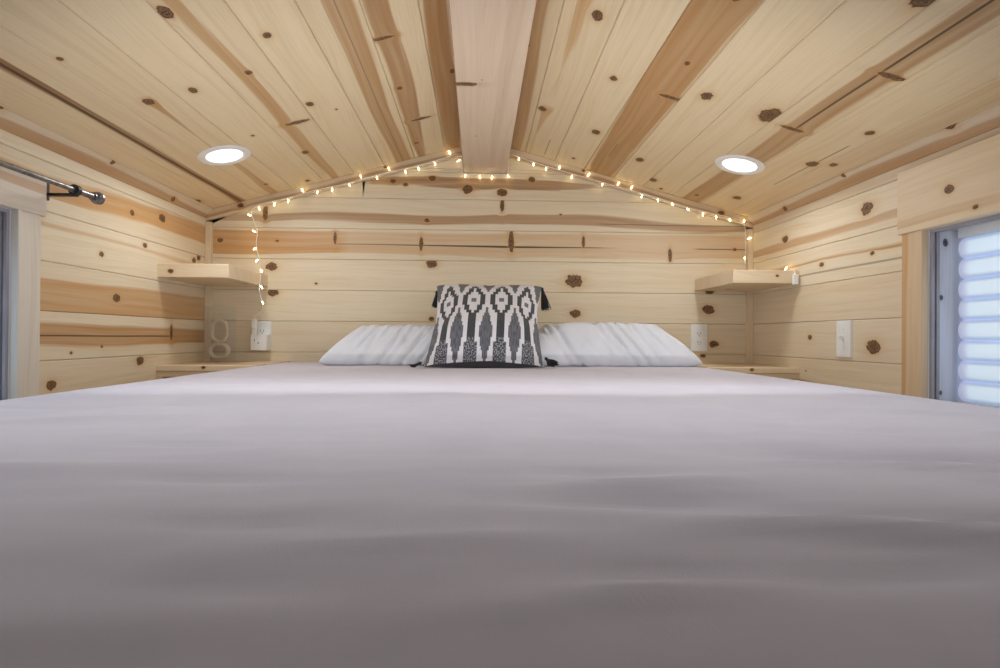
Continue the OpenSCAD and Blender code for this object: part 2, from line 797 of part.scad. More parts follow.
// String of lights: a thin double wire from its plug past the left shelf up to the rake
// strip, along both strips and under the beam, down the right corner and over the front
// of the right shelf. Each list holds [x, distance from the end wall, height].
cord_d = 3;
cord_sides = 8;
shelf_top = shelf_z + shelf_t;

// From the middle of the left outlet
cord_rise = [
    [-17, 46, 66], [-15, 47, 75], [-3, 49, 83], [12, 52, 91], [22, 60, 111],
    [25, 84, 140], [25, 104, 178]
];
// From the left wall and the top of the left shelf
cord_past_shelf = [
    [247, 94, -20], [245, 92, 13], [232, 62, 53], [208, 30, 95], [202, 20, 135],
    [205, 18, 173], [192, 19, 215]
];
// Part of half the room width, and the drop under the ceiling, on each rake strip
cord_left_rake = [
    [0.837, 53], [0.808, 33], [0.714, 34], [0.616, 31], [0.5, 35], [0.384, 32], [0.268, 36], [0.152, 32]
];
cord_right_rake = [
    [0.161, 32], [0.277, 35], [0.393, 33], [0.509, 34], [0.625, 31], [0.741, 36], [0.848, 30], [0.946, 25]
];
// From the side of the beam and its underside, and mirrored on the way up
cord_at_beam = [[17, 22, 69], [7, 18, 33], [5, 11, 5], [-11, 7, -7]];
// From the right wall and the top of the right shelf
cord_down = [[37, 27, 195], [42, 34, 55], [38, 52, 12], [35, 70, 3], [26, 160, 2]];
// The same, with the distance from the front edge of the shelf
cord_end = [[19, -14, 2], [19, 2, -2], [19, 8, -15]];

function rake_point(side, p) = let (x = p[0] * in_x)
    [side * x, rake_t + cord_d, ceil_z(x) - floor_z - p[1]];
function beam_point(side, p) = [side * (beam_x + p[0]), p[1], beam_z - floor_z + p[2]];
cord_points = concat(
    [for (p = cord_rise) [p[0] - outlet_x, p[1], plate_z + p[2]]],
    [for (p = cord_past_shelf) [p[0] - in_x, p[1], shelf_top + p[2]]],
    [for (p = cord_left_rake) rake_point(-1, p)],
    [for (p = cord_at_beam) beam_point(-1, p)],
    [for (i = [len(cord_at_beam) - 1 : -1 : 0]) beam_point(1, cord_at_beam[i])],
    [for (p = cord_right_rake) rake_point(1, p)],
    [for (p = cord_down) [in_x - p[0], p[1], shelf_top + p[2]]],
    [for (p = cord_end) [in_x - p[0], shelf_d + p[1], shelf_top + p[2]]]
);

// A smooth curve through the points, with two straight pieces for each stretch
function at_room(p) = [p[0], y_end - p[1], floor_z + p[2]];
function smooth(a, b, c, d, t) = 0.5 * (
    2 * b + (c - a) * t + (2 * a - 5 * b + 4 * c - d) * t * t + (3 * b - a - 3 * c + d) * t * t * t
);
cord_last = len(cord_points) - 1;
cord_route = [
    for (i = [0 : cord_last - 1], t = [0, 0.5])
        at_room(smooth(cord_points[max(i - 1, 0)], cord_points[i], cord_points[i + 1],
            cord_points[min(i + 2, cord_last)], t)),
    at_room(cord_points[cord_last])
];

function unit(v) = v / norm(v);
function route_dir(p, i) = unit(p[min(i + 1, len(p) - 1)] - p[max(i - 1, 0)]);
function ring_at(p, i) =
    let (
        d = route_dir(p, i),
        side = unit(cross(d, abs(d[1]) > 0.9 ? [1, 0, 0] : [0, 1, 0])),
        up = cross(side, d)
    ) [for (k = [0 : cord_sides - 1])
        p[i] + cord_d / 2 * (cos(k * 360 / cord_sides) * side + sin(k * 360 / cord_sides) * up)];

module tube(p) {
    n = len(p);
    m = cord_sides;
    polyhedron(
        points = [for (i = [0 : n - 1]) each ring_at(p, i)],
        faces = concat(
            [[for (k = [0 : m - 1]) k]],
            [for (i = [0 : n - 2], k = [0 : m - 1])
                [i * m + k, (i + 1) * m + k, (i + 1) * m + (k + 1) % m, i * m + (k + 1) % m]],
            [[for (k = [m - 1 : -1 : 0]) (n - 1) * m + k]]
        )
    );
}

module string_light_cord() color("white") tube(cord_route);

// Square adapter in the lower socket, the plug of the lights on top of it, and the
// end connector that hangs over the front edge of the right shelf
adapter = [62, 42, 62];
adapter_shift = 3;
adapter_top = floor_z + plate_z + 2;
plug_t = 14;
plug_place = [-outlet_x - 22, y_end - 56, adapter_top];
plug_profile = [
    [5, 0], [15, 0], [15, 22], [20, 26], [20, 54], [15, 61], [5, 61], [0, 54], [0, 26], [5, 22]
];
connector = [16, 12, 36];
connector_top = [in_x - 19, y_end - shelf_d - 14, floor_z + shelf_top - 15];
module string_light_plugs() color("white") {
    adapter_x = adapter_shift - outlet_x - adapter[0] / 2;
    translate([adapter_x, y_end - socket_t - adapter[1], adapter_top - adapter[2]]) cube(adapter);
    translate(plug_place) rotate([90, 0, 90]) linear_extrude(plug_t) polygon(plug_profile);
    translate(connector_top - [connector[0] / 2, 0, connector[2]]) cube(connector);
}

floor_joists();
floor_deck();
left_wall();
right_wall();
end_wall();
left_siding();
right_siding();
end_siding();
left_lining();
right_lining();
end_lining();
left_ceiling();
right_ceiling();
rafters();
ridge_beam();
roof_deck_left();
roof_deck_right();
roof_metal_left();
roof_metal_right();
roof_seams();
ridge_cap();
eave_fascias();
eave_soffits();
barge_boards();
eave_coves();
rake_strips();
corner_strips();
left_casing();
right_casing();
outside_casings();
left_jamb();
right_jamb();
window_stops();
left_window_frame();
right_window_frame();
window_glass();
pleated_shade();
shade_rails();
left_shelf();
right_shelf();
left_bedside_box();
right_bedside_box();
bedside_tops();
glass_vase();
rope_hanks();
downlight_trims();
downlight_lenses();
outlets();
light_switch();
curtain_rod();
rod_brackets();
mattress();
quilt();
left_pillow();
right_pillow();
accent_cushion();
string_light_cord();
string_light_plugs();
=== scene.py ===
import math
import random

import bmesh
import bpy
from mathutils import Matrix, Vector, noise


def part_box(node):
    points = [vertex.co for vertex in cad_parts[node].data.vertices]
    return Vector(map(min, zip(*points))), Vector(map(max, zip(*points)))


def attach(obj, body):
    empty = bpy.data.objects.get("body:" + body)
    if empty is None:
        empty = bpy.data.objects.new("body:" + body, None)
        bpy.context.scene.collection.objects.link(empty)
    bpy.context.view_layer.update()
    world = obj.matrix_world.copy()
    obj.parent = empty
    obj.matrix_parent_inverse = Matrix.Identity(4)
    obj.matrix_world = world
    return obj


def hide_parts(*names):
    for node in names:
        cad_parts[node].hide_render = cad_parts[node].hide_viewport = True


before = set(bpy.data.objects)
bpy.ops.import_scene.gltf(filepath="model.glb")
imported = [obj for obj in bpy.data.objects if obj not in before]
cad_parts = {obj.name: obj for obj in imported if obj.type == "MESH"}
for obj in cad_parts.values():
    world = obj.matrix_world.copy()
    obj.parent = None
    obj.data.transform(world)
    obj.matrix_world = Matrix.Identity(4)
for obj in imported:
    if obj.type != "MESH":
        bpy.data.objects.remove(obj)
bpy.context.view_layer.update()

# Places read from the frame
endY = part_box("end_lining")[0].y  # face of the end wall boards
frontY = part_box("right_lining")[0].y  # open front
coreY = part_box("end_lining")[1].y
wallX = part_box("right_lining")[0].x  # face of the side wall boards
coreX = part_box("right_lining")[1].x
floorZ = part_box("floor_deck")[1].z
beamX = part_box("ridge_beam")[1].x
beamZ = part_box("ridge_beam")[0].z
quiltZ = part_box("quilt")[1].z
roofPitch = math.radians(15.2)
roofSlope = math.tan(roofPitch)
boardThick = coreX - wallX - 0.0005  # lining boards, just clear of the wall behind
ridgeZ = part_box("right_ceiling")[0].z + roofSlope * coreX
boardWidth = 0.1265
sideX = Vector((1, 0, 0))
alongY = Vector((0, 1, 0))
upZ = Vector((0, 0, 1))


def ceilingZ(x):
    return ridgeZ - roofSlope * abs(x)


# Small helpers for objects and shader nodes

def addObject(name, data, material=None):
    obj = bpy.data.objects.new(name, data)
    bpy.context.scene.collection.objects.link(obj)
    if material is not None:
        data.materials.append(material)
    return obj


def addMesh(name, bm, material=None):
    bmesh.ops.recalc_face_normals(bm, faces=bm.faces)
    mesh = bpy.data.meshes.new(name)
    bm.to_mesh(mesh)
    bm.free()
    return addObject(name, mesh, material)


def smoothShade(obj, angle=None):
    for polygon in obj.data.polygons:
        polygon.use_smooth = True
    if angle is not None:
        obj.data.set_sharp_from_angle(angle=math.radians(angle))


def standFor(obj, slot, *nodes):
    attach(obj, "root")
    if nodes:
        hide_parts(*nodes)
    return obj


# A value in a shader tree. Sums with it add the nodes that they need.
class Value:
    def __init__(self, socket):
        self.socket = socket
        self.tree = socket.id_data

    def math(self, operation, *others, clamp=False):
        return mathNode(self.tree, operation, (self, *others), clamp)

    def scaled(self, factor, offset, clamp=False):
        return self.math("MULTIPLY_ADD", factor, offset, clamp=clamp)

    def __add__(self, other):
        return self.math("ADD", other)

    def __sub__(self, other):
        return self.math("SUBTRACT", other)

    def __rsub__(self, other):
        return mathNode(self.tree, "SUBTRACT", (other, self), False)

    def __mul__(self, other):
        return self.math("MULTIPLY", other)

    def __truediv__(self, other):
        return self.math("DIVIDE", other)

    def __abs__(self):
        return self.math("ABSOLUTE")


def link(value, socket):
    value.tree.links.new(value.socket, socket)


# Values are linked to a node's inputs, and plain numbers and colours are set on them
def setInputs(node, inputs):
    for key, value in inputs.items():
        if isinstance(value, Value):
            link(value, node.inputs[key])
        else:
            node.inputs[key].default_value = value


def addNode(tree, kind, **settings):
    node = tree.nodes.new(kind)
    for key, value in settings.items():
        if key in node.inputs:
            setInputs(node, {key: value})
        else:
            setattr(node, key, value)
    return node


def mathNode(tree, operation, values, clamp):
    node = addNode(tree, "ShaderNodeMath", operation=operation, use_clamp=clamp)
    setInputs(node, dict(enumerate(values)))
    return Value(node.outputs[0])


def mixColor(factor, a, b):
    node = addNode(factor.tree, "ShaderNodeMix", data_type="RGBA")
    setInputs(node, {0: factor, 6: a, 7: b})
    return Value(node.outputs[2])


def smoothStep(value, low, high):
    node = addNode(value.tree, "ShaderNodeMapRange", interpolation_type="SMOOTHSTEP")
    setInputs(node, {0: value, 1: low, 2: high})
    return Value(node.outputs[0])


def noiseNode(vector, scale, detail, roughness=0.5, distortion=0.0):
    node = addNode(vector.tree, "ShaderNodeTexNoise", Vector=vector, Scale=scale, Detail=detail,
                   Roughness=roughness, Distortion=distortion)
    return Value(node.outputs["Fac"])


def splitVector(vector):
    return [Value(socket) for socket in addNode(vector.tree, "ShaderNodeSeparateXYZ", Vector=vector).outputs]


def joinVector(x, y, z):
    return Value(addNode(x.tree, "ShaderNodeCombineXYZ", X=x, Y=y, Z=z).outputs[0])


def attributeVector(tree, name):
    return Value(addNode(tree, "ShaderNodeAttribute", attribute_name=name).outputs["Vector"])


def objectPlace(tree):
    return Value(tree.nodes.new("ShaderNodeTexCoord").outputs["Object"])


def lightPath(tree, *names):
    sockets = tree.nodes.new("ShaderNodeLightPath").outputs
    return [Value(sockets[name]) for name in names]


def valuesOf(node):
    return {socket.name: Value(socket) for socket in node.outputs if socket.name}


# A node group, with its inputs and outputs as names under their kind of socket
def newGroup(name, inputs, outputs):
    tree = bpy.data.node_groups.new(name, "ShaderNodeTree")
    for way, kinds in (("INPUT", inputs), ("OUTPUT", outputs)):
        for kind, socketNames in kinds.items():
            for socketName in socketNames:
                tree.interface.new_socket(socketName, in_out=way, socket_type="NodeSocket" + kind)
    return tree, valuesOf(tree.nodes.new("NodeGroupInput")), tree.nodes.new("NodeGroupOutput")


def placeGroup(tree, group, inputs):
    node = tree.nodes.new("ShaderNodeGroup")
    node.node_tree = group
    setInputs(node, inputs)
    return valuesOf(node)


def newMaterial(name, **settings):
    material = bpy.data.materials.new(name)
    material.use_nodes = True
    shader = material.node_tree.nodes["Principled BSDF"]
    setInputs(shader, settings)
    return material, material.node_tree, shader


def addBump(shader, height, distance, strength):
    bump = addNode(height.tree, "ShaderNodeBump", Height=height, Distance=distance, Strength=strength)
    link(Value(bump.outputs[0]), shader.inputs["Normal"])


print("frame loaded")

# Camera: where the photographer stood, just inside the open front
cameraLook = {"x": -0.025, "fromEnd": 2.3225, "overFloor": 0.322, "yaw": 0.0392, "pitch": 0.0046,
              "roll": 0.0062, "lens": 20.28}


def buildCamera():
    look = cameraLook
    data = bpy.data.cameras.new("camera")
    data.sensor_width = 36
    data.lens = look["lens"]
    data.clip_start = 0.01
    camera = addObject("camera", data)
    yaw, pitch = look["yaw"], look["pitch"]
    forward = Vector((math.sin(yaw) * math.cos(pitch), math.cos(yaw) * math.cos(pitch), math.sin(pitch)))
    right = Vector((math.cos(yaw), -math.sin(yaw), 0))
    up = right.cross(forward)
    c, s = math.cos(look["roll"]), math.sin(look["roll"])
    right, up = right * c + up * s, up * c - right * s
    place = Vector((look["x"], endY - look["fromEnd"], floorZ + look["overFloor"]))
    camera.matrix_world = Matrix((
        (right.x, up.x, -forward.x, place.x),
        (right.y, up.y, -forward.y, place.y),
        (right.z, up.z, -forward.z, place.z),
        (0, 0, 0, 1)))
    bpy.context.scene.camera = camera


buildCamera()

# String of lights: a thin wire by its own route, with a small bulb on a stem every few inches
stringLook = {
    "thick": 0.003, "bulbEvery": 0.063, "firstBulb": 0.10, "stem": 0.008, "bulb": 0.014,
    "wire": (0.86, 0.86, 0.84, 1), "glow": (1.0, 0.86, 0.46, 1), "strength": 15,
    # share of the length, and radius
    "bulbShape": [(0, 0.0016), (0.15, 0.0021), (0.75, 0.0021), (0.93, 0.0014), (1, 0.0005)],
    "stemShape": [(0, 0.0011), (1, 0.0011)],
    # from the middle of the left outlet
    "rise": [(-0.017, 0.046, 0.066), (-0.015, 0.047, 0.075), (-0.003, 0.049, 0.083), (0.012, 0.052, 0.091),
             (0.022, 0.060, 0.111), (0.025, 0.084, 0.140), (0.025, 0.104, 0.178)],
    # from the left wall and the top of the left shelf
    "pastShelf": [(0.247, 0.094, -0.020), (0.245, 0.092, 0.013), (0.232, 0.062, 0.053), (0.208, 0.030, 0.095),
                  (0.202, 0.020, 0.135), (0.205, 0.018, 0.173), (0.192, 0.019, 0.215)],
    # part of half the room's width, and the drop under the ceiling
    "leftRake": [(0.837, 0.053), (0.808, 0.033), (0.714, 0.034), (0.616, 0.031), (0.5, 0.035), (0.384, 0.032),
                 (0.268, 0.036), (0.152, 0.032)],
    "rightRake": [(0.161, 0.032), (0.277, 0.035), (0.393, 0.033), (0.509, 0.034), (0.625, 0.031),
                  (0.741, 0.036), (0.848, 0.030), (0.946, 0.025)],
    "rakeFromEnd": 0.022,
    # from the side of the beam, from the end wall and from the beam's underside
    "atBeam": [(0.017, 0.022, 0.069), (0.007, 0.018, 0.033), (0.005, 0.011, 0.005), (-0.011, 0.007, -0.007)],
    # from the right wall and the top of the right shelf
    "down": [(0.037, 0.027, 0.195), (0.042, 0.034, 0.055), (0.038, 0.052, 0.012), (0.035, 0.070, 0.003),
             (0.026, 0.160, 0.002)],
    # the same, with the distance from the front edge of the shelf
    "end": [(0.019, -0.014, 0.002), (0.019, 0.002, -0.002), (0.019, 0.008, -0.015)],
}


def stringPoints():
    look = stringLook
    outletLow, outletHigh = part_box("outlets")
    plateHalf = (outletHigh.z - outletLow.z) * 35 / 114  # the cover plates are 70 by 114 mm
    outletX, outletZ = outletHigh.x - plateHalf, (outletLow.z + outletHigh.z) / 2
    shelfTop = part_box("right_shelf")[1].z
    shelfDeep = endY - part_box("right_shelf")[0].y
    fromEnd = look["rakeFromEnd"]
    points = [(x - outletX, e, outletZ + z) for x, e, z in look["rise"]]
    points += [(x - wallX, e, shelfTop + z) for x, e, z in look["pastShelf"]]
    points += [(-s * wallX, fromEnd, ceilingZ(s * wallX) - drop) for s, drop in look["leftRake"]]
    points += [(-beamX - x, e, beamZ + z) for x, e, z in look["atBeam"]]
    points += [(beamX + x, e, beamZ + z) for x, e, z in reversed(look["atBeam"])]
    points += [(s * wallX, fromEnd, ceilingZ(s * wallX) - drop) for s, drop in look["rightRake"]]
    points += [(wallX - x, e, shelfTop + z) for x, e, z in look["down"]]
    points += [(wallX - x, shelfDeep + e, shelfTop + z) for x, e, z in look["end"]]
    return [Vector((x, endY - e, z)) for x, e, z in points]


# A smooth curve through points, with so many pieces for each stretch
def smoothRoute(points, pieces):
    route = []
    last = len(points) - 1
    for i in range(last):
        a, b, c, d = points[max(i - 1, 0)], points[i], points[i + 1], points[min(i + 2, last)]
        for k in range(pieces):
            t = k / pieces
            route.append(0.5 * (2 * b + (c - a) * t + (2 * a - 5 * b + 4 * c - d) * t * t
                                + (3 * b - a - 3 * c + d) * t ** 3))
    route.append(points[last])
    return route


def routeLength(route):
    return sum((b - a).length for a, b in zip(route, route[1:]))


def curveObject(name, route, thick, material, rings=2):
    data = bpy.data.curves.new(name, "CURVE")
    data.dimensions = "3D"
    data.bevel_depth = thick / 2
    data.bevel_resolution = rings
    data.use_fill_caps = True
    spline = data.splines.new("POLY")
    spline.points.add(len(route) - 1)
    for point, place in zip(spline.points, route):
        point.co = (*place, 1)
    return addObject(name, data, material)


# Faces between two closed rings of corners
def bridge(bm, first, second):
    for k in range(len(first)):
        after = (k + 1) % len(first)
        bm.faces.new((first[k], first[after], second[after], second[k]))


# Faces over lines of corners that lie side by side
def fillGrid(bm, lines, flipped=False):
    for first, second in zip(lines, lines[1:]):
        for k in range(len(first) - 1):
            corners = (first[k], first[k + 1], second[k + 1], second[k])
            bm.faces.new(corners[::-1] if flipped else corners)


# A round bar between two points, with its own radius at each end and at any places between
def addRod(bm, start, end, radii, sides=8):
    direction = (end - start).normalized()
    side = direction.orthogonal().normalized()
    other = direction.cross(side)
    rings = []
    for share, radius in radii:
        centre = start.lerp(end, share)
        rings.append([bm.verts.new(centre + radius * (math.cos(a) * side + math.sin(a) * other))
                      for a in (2 * math.pi * k / sides for k in range(sides))])
    for first, second in zip(rings, rings[1:]):
        bridge(bm, first, second)
    bm.faces.new(rings[0][::-1])
    bm.faces.new(rings[-1])


def buildStringLights():
    look = stringLook
    wireMaterial, tree, shader = newMaterial("wirePlastic", Roughness=0.35)
    shade = noiseNode(objectPlace(tree), 60, 1)
    setInputs(shader, {"Base Color": mixColor(shade, (0.78, 0.78, 0.75, 1), look["wire"]),
                       "Roughness": shade.scaled(0.3, 0.2)})
    glowMaterial, tree, shader = newMaterial("bulbGlow", Roughness=0.2)
    shade = noiseNode(objectPlace(tree), 9, 0)
    glow = mixColor(shade, (1.0, 0.74, 0.33, 1), look["glow"])
    setInputs(shader, {"Base Color": glow, "Emission Color": glow, "Emission Strength": look["strength"]})

    route = smoothRoute(stringPoints(), 8)
    wire = curveObject("string_light_wire", route, look["thick"], wireMaterial)
    standFor(wire, "cord_plastic", "string_light_cord")
    rng = random.Random(5)
    bulbs, stems = bmesh.new(), bmesh.new()
    travelled, due = 0.0, look["firstBulb"]
    for a, b in zip(route, route[1:]):
        step = (b - a).length
        while travelled + step > due:
            place = a.lerp(b, (due - travelled) / step)
            due += look["bulbEvery"] * rng.uniform(0.85, 1.15)
            direction = (b - a).normalized()
            lift = rng.choice((-1.2, -1.0, -0.8, 0.5))
            lean = Vector((rng.uniform(-0.7, 0.7), rng.uniform(-0.8, -0.2), lift))
            lean = (lean - 0.5 * direction * lean.dot(direction)).normalized()
            neck = place + lean * look["stem"]
            addRod(stems, place, neck, look["stemShape"], 6)
            tip = neck + lean * look["bulb"]
            addRod(bulbs, neck, tip, look["bulbShape"])
        travelled += step
    stemObject = addMesh("string_light_stems", stems, wireMaterial)
    standFor(stemObject, "cord_plastic")
    bulbObject = addMesh("string_light_bulbs", bulbs, glowMaterial)
    smoothShade(bulbObject, 50)
    standFor(bulbObject, "lens_lit")
    round(routeLength(route), 3)


buildStringLights()
print("string lights hung")

# Rope: one thin cotton rope wound into two hanks that stand in the vase
ropeLook = {"thick": 0.005, "turnPoints": 22, "layers": 2, "turnsWide": 3, "pitch": 0.0052,
            # each hank: width, height, height of its middle over the inside of the vase
            "hanks": [(0.078, 0.060, 0.0305), (0.066, 0.092, 0.107)],
            # dark is painted shade for the grooves of the twist
            "light": (0.93, 0.83, 0.67, 1), "dark": (0.60, 0.48, 0.34, 1)}
vaseLow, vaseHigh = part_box("glass_vase")
vaseInside = vaseLow.z + 0.012  # the base is 12 mm thick


# A place on a ring with round ends, by its share of one turn from the bottom
def ringPlace(wide, high, share):
    radius = min(wide, high) / 2
    straight = [max(wide / 2 - radius, 0), max(high / 2 - radius, 0)]
    angle = 2 * math.pi * share - math.pi / 2
    c, s = math.cos(angle), math.sin(angle)
    return Vector((radius * c + math.copysign(straight[0], c) * min(1, abs(c) * 3),
                   0, radius * s + math.copysign(straight[1], s) * min(1, abs(s) * 3)))


def hankRoute(wide, high, middle, start):
    look = ropeLook
    thick = look["thick"]
    route = []
    points = look["turnPoints"]
    for layer in range(look["layers"]):
        total = look["turnsWide"] * points
        for k in range(total + 1):
            share = k / points
            across = (k / total - 0.5) * look["pitch"] * look["turnsWide"]
            depth = across if layer == 0 else -across
            inset = thick / 2 + layer * thick
            place = ringPlace(wide - 2 * inset, high - 2 * inset, start + share)
            route.append(place + Vector((0, depth, middle)))
    return route


def buildRope():
    look = ropeLook
    material, tree, shader = newMaterial("ropeCotton", Roughness=0.9)
    place = objectPlace(tree)
    x, y, z = splitVector(place)
    twist = ((x + z + y * 0.4) * 2600).math("SINE")
    fibre = noiseNode(place, 900, 1)
    # painted shade: the rope is darker in the grooves of its twist, where its bump is low
    strandRiseAndShade = smoothStep(twist + fibre * 0.8, -0.9, 0.9)
    link(mixColor(strandRiseAndShade, look["dark"], look["light"]), shader.inputs["Base Color"])
    addBump(shader, strandRiseAndShade, 0.0012, 0.8)
    centre = (vaseLow + vaseHigh) / 2
    origin = Vector((centre.x, centre.y, vaseInside + 0.0008))
    lower, upper = look["hanks"]
    route = hankRoute(*lower, 0.5) + hankRoute(*upper, 0.0)
    route = smoothRoute([origin + p for p in route], 2)
    rope = curveObject("coiled_rope", route, look["thick"], material, 3)
    standFor(rope, "rope_cotton", "rope_hanks")
    round(routeLength(route), 3)


buildRope()
print("rope coiled")

# Pine: grain runs along each board, bends round its knots and carries heartwood and dark streaks
pineLook = {
    "orangeHeart": (0.56, 0.285, 0.085, 1), "brownHeart": (0.28, 0.138, 0.055, 1),
    "fibre": (0.33, 0.19, 0.10, 1), "streak": (0.075, 0.042, 0.022, 1), "black": (0.012, 0.008, 0.005, 1),
}
woodParts = ("Light Wood", "Dark Wood", "Orange Heart", "Brown Heart")


def buildPineGroup():
    tree, given, made = newGroup(
        "pineBoard",
        {"Vector": ("Grain", "Tone", "Band", "Streak", "Knot"), "Color": woodParts},
        {"Color": ("Color",), "Float": ("Height", "Knot Mask")})
    along, across, seed = splitVector(given["Grain"])
    light, warm, depth = splitVector(given["Tone"])
    bandAt, bandHalf, bandPower = splitVector(given["Band"])
    streakAt, streakHalf, streakPower = splitVector(given["Streak"])
    knotAlong, knotAcross, knotSize = splitVector(given["Knot"])

    # distance from the knot in its own radii: a size below zero is a spike that runs across the board
    size = abs(knotSize).math("MAXIMUM", 0.0005)
    hasKnot = size.math("GREATER_THAN", 0.001)
    spike = knotSize.math("LESS_THAN", 0.0)
    long = knotAlong * spike.scaled(0.85, 0.72)
    wide = knotAcross * spike.scaled(-0.58, 1.0)
    reach = (long * long + wide * wide).math("SQRT")
    wobble = noiseNode(given["Grain"], 75, 1)
    rings = reach / size + wobble.scaled(0.8, -0.4)
    rings = rings.math("MAXIMUM", 0.0)
    fade = (rings * rings * -0.3).math("EXPONENT") * hasKnot
    sideways = knotAcross / size.scaled(0.5, abs(knotAcross))
    push = sideways * size * fade
    bent = across - push * 1.3

    # growth lines wander slowly over the board, and fine fibres run with them
    slow = noiseNode(joinVector(along * 1.3, across * 7.0, seed), 1.0, 1)
    growth = bent + slow.scaled(0.085, -0.0425)
    lineSpace = joinVector(along * 1.4, growth * 62.0, seed)
    rawLines = noiseNode(lineSpace, 1.0, 2, 0.6)
    lines = smoothStep(rawLines, 0.42, 0.72)
    fibreSpace = joinVector(along * 7.0, growth * 360.0, seed)
    fibres = noiseNode(fibreSpace, 1.0, 1, 0.6)

    # heartwood band with a ragged edge, and a dark streak
    ragged = rawLines.scaled(0.022, slow.scaled(0.05, -0.036))
    place = across - push + ragged
    away = abs(place - bandAt)
    band = smoothStep(bandHalf - away, -0.004, 0.005) * bandPower
    streakPlace = slow.scaled(0.008, across - (streakAt + 0.004))
    streakAway = abs(streakPlace)
    streak = smoothStep(streakHalf - streakAway, -0.0009, 0.0007)
    streak = streak * streakPower

    wood = mixColor(lines * 0.34, given["Light Wood"], given["Dark Wood"])
    heart = mixColor(depth, given["Orange Heart"], given["Brown Heart"])
    bandShade = band * rawLines.scaled(0.75, 0.55)
    warmth = (warm * (rawLines + 0.4)).math("MAXIMUM", bandShade, clamp=True)
    wood = mixColor(warmth, wood, heart)
    fibreShade = smoothStep(fibres, 0.45, 0.85) * 0.18
    wood = mixColor(fibreShade, wood, pineLook["fibre"])
    brightness = addNode(tree, "ShaderNodeHueSaturation", Color=wood, Value=light)
    wood = mixColor(streak, Value(brightness.outputs[0]), pineLook["streak"])

    # knot: a warm halo, then brown wood with faint rings, a dark core and a broken dark rim
    power = rings.math("POWER", 1.3)
    halo = (power * -1.1).math("EXPONENT") * 1.5
    halo = halo.math("MINIMUM", 0.8) * hasKnot
    wood = mixColor(halo, wood, given["Orange Heart"])
    inside = smoothStep(rings, 1.1, 0.9) * hasKnot
    rim = smoothStep(abs(rings - 0.93), 0.24, 0.05)
    broken = smoothStep(noiseNode(given["Grain"], 210, 1), 0.34, 0.56)
    core = smoothStep(rings + broken, 1.15, 0.35) * 0.75
    turns = (rings * 17.0).math("SINE").scaled(0.17, 0.32)
    knotShade = (turns + core).math("MAXIMUM", rim * broken * 0.88)
    wood = mixColor(inside, wood, mixColor(knotShade, given["Brown Heart"], pineLook["black"]))
    plainFibres = noiseNode(joinVector(along * 6.0, across * 330.0, seed), 1.0, 1)
    setInputs(made, {"Color": wood, "Height": plainFibres, "Knot Mask": inside})
    return tree


pineGroup = buildPineGroup()


def woodColors(light, dark, orange=pineLook["orangeHeart"], brown=pineLook["brownHeart"]):
    return dict(zip(woodParts, (light, dark, orange, brown)))


boardLayers = ("grain", "tone", "band", "streak", "knot")


# Pine on boards that carry their own values for these
def boardMaterial(name, colors, roughness=0.5):
    material, tree, shader = newMaterial(name)
    values = {key.capitalize(): attributeVector(tree, key) for key in boardLayers}
    wood = placeGroup(tree, pineGroup, {**values, **colors})
    gloss = wood["Height"].scaled(0.22, roughness - 0.11)
    setInputs(shader, {"Base Color": wood["Color"], "Roughness": gloss})
    addBump(shader, wood["Height"], 0.0004, 0.5)
    return material


liningPine = boardMaterial("liningPine", woodColors((0.74, 0.64, 0.475, 1), (0.66, 0.50, 0.30, 1)))
ceilingPine = boardMaterial("ceilingPine", woodColors((0.75, 0.605, 0.39, 1), (0.64, 0.46, 0.245, 1)))
trimPine = boardMaterial("trimPine", woodColors((0.74, 0.60, 0.42, 1), (0.62, 0.44, 0.26, 1)))
beamPine = boardMaterial("beamPine", woodColors((0.66, 0.51, 0.375, 1), (0.54, 0.385, 0.26, 1),
                                                (0.42, 0.24, 0.13, 1)))
# Whitewashed pine for the window jambs, with a blue tint that is painted daylight
jambPine = boardMaterial("whitewashedPinePaintedDaylight", woodColors((0.76, 0.77, 0.83, 1), (0.60, 0.61, 0.67, 1),
                                                       (0.44, 0.45, 0.50, 1), (0.15, 0.15, 0.17, 1)))
paleTrimPine = boardMaterial("paleTrimPine", woodColors((0.68, 0.62, 0.54, 1), (0.58, 0.50, 0.41, 1)))

# Boards: each is a closed bar, cut along its length so that every stretch carries one knot
boardLook = {"gap": 0.0007, "bevel": 0.0024, "ease": 0.0015, "knotEvery": 0.42}


def between(points, place):
    if place <= points[0][0]:
        return points[0][1:]
    for a, b in zip(points, points[1:]):
        if place <= b[0]:
            share = (place - a[0]) / max(b[0] - a[0], 1e-6)
            return tuple(p + (q - p) * share for p, q in zip(a[1:], b[1:]))
    return points[-1][1:]


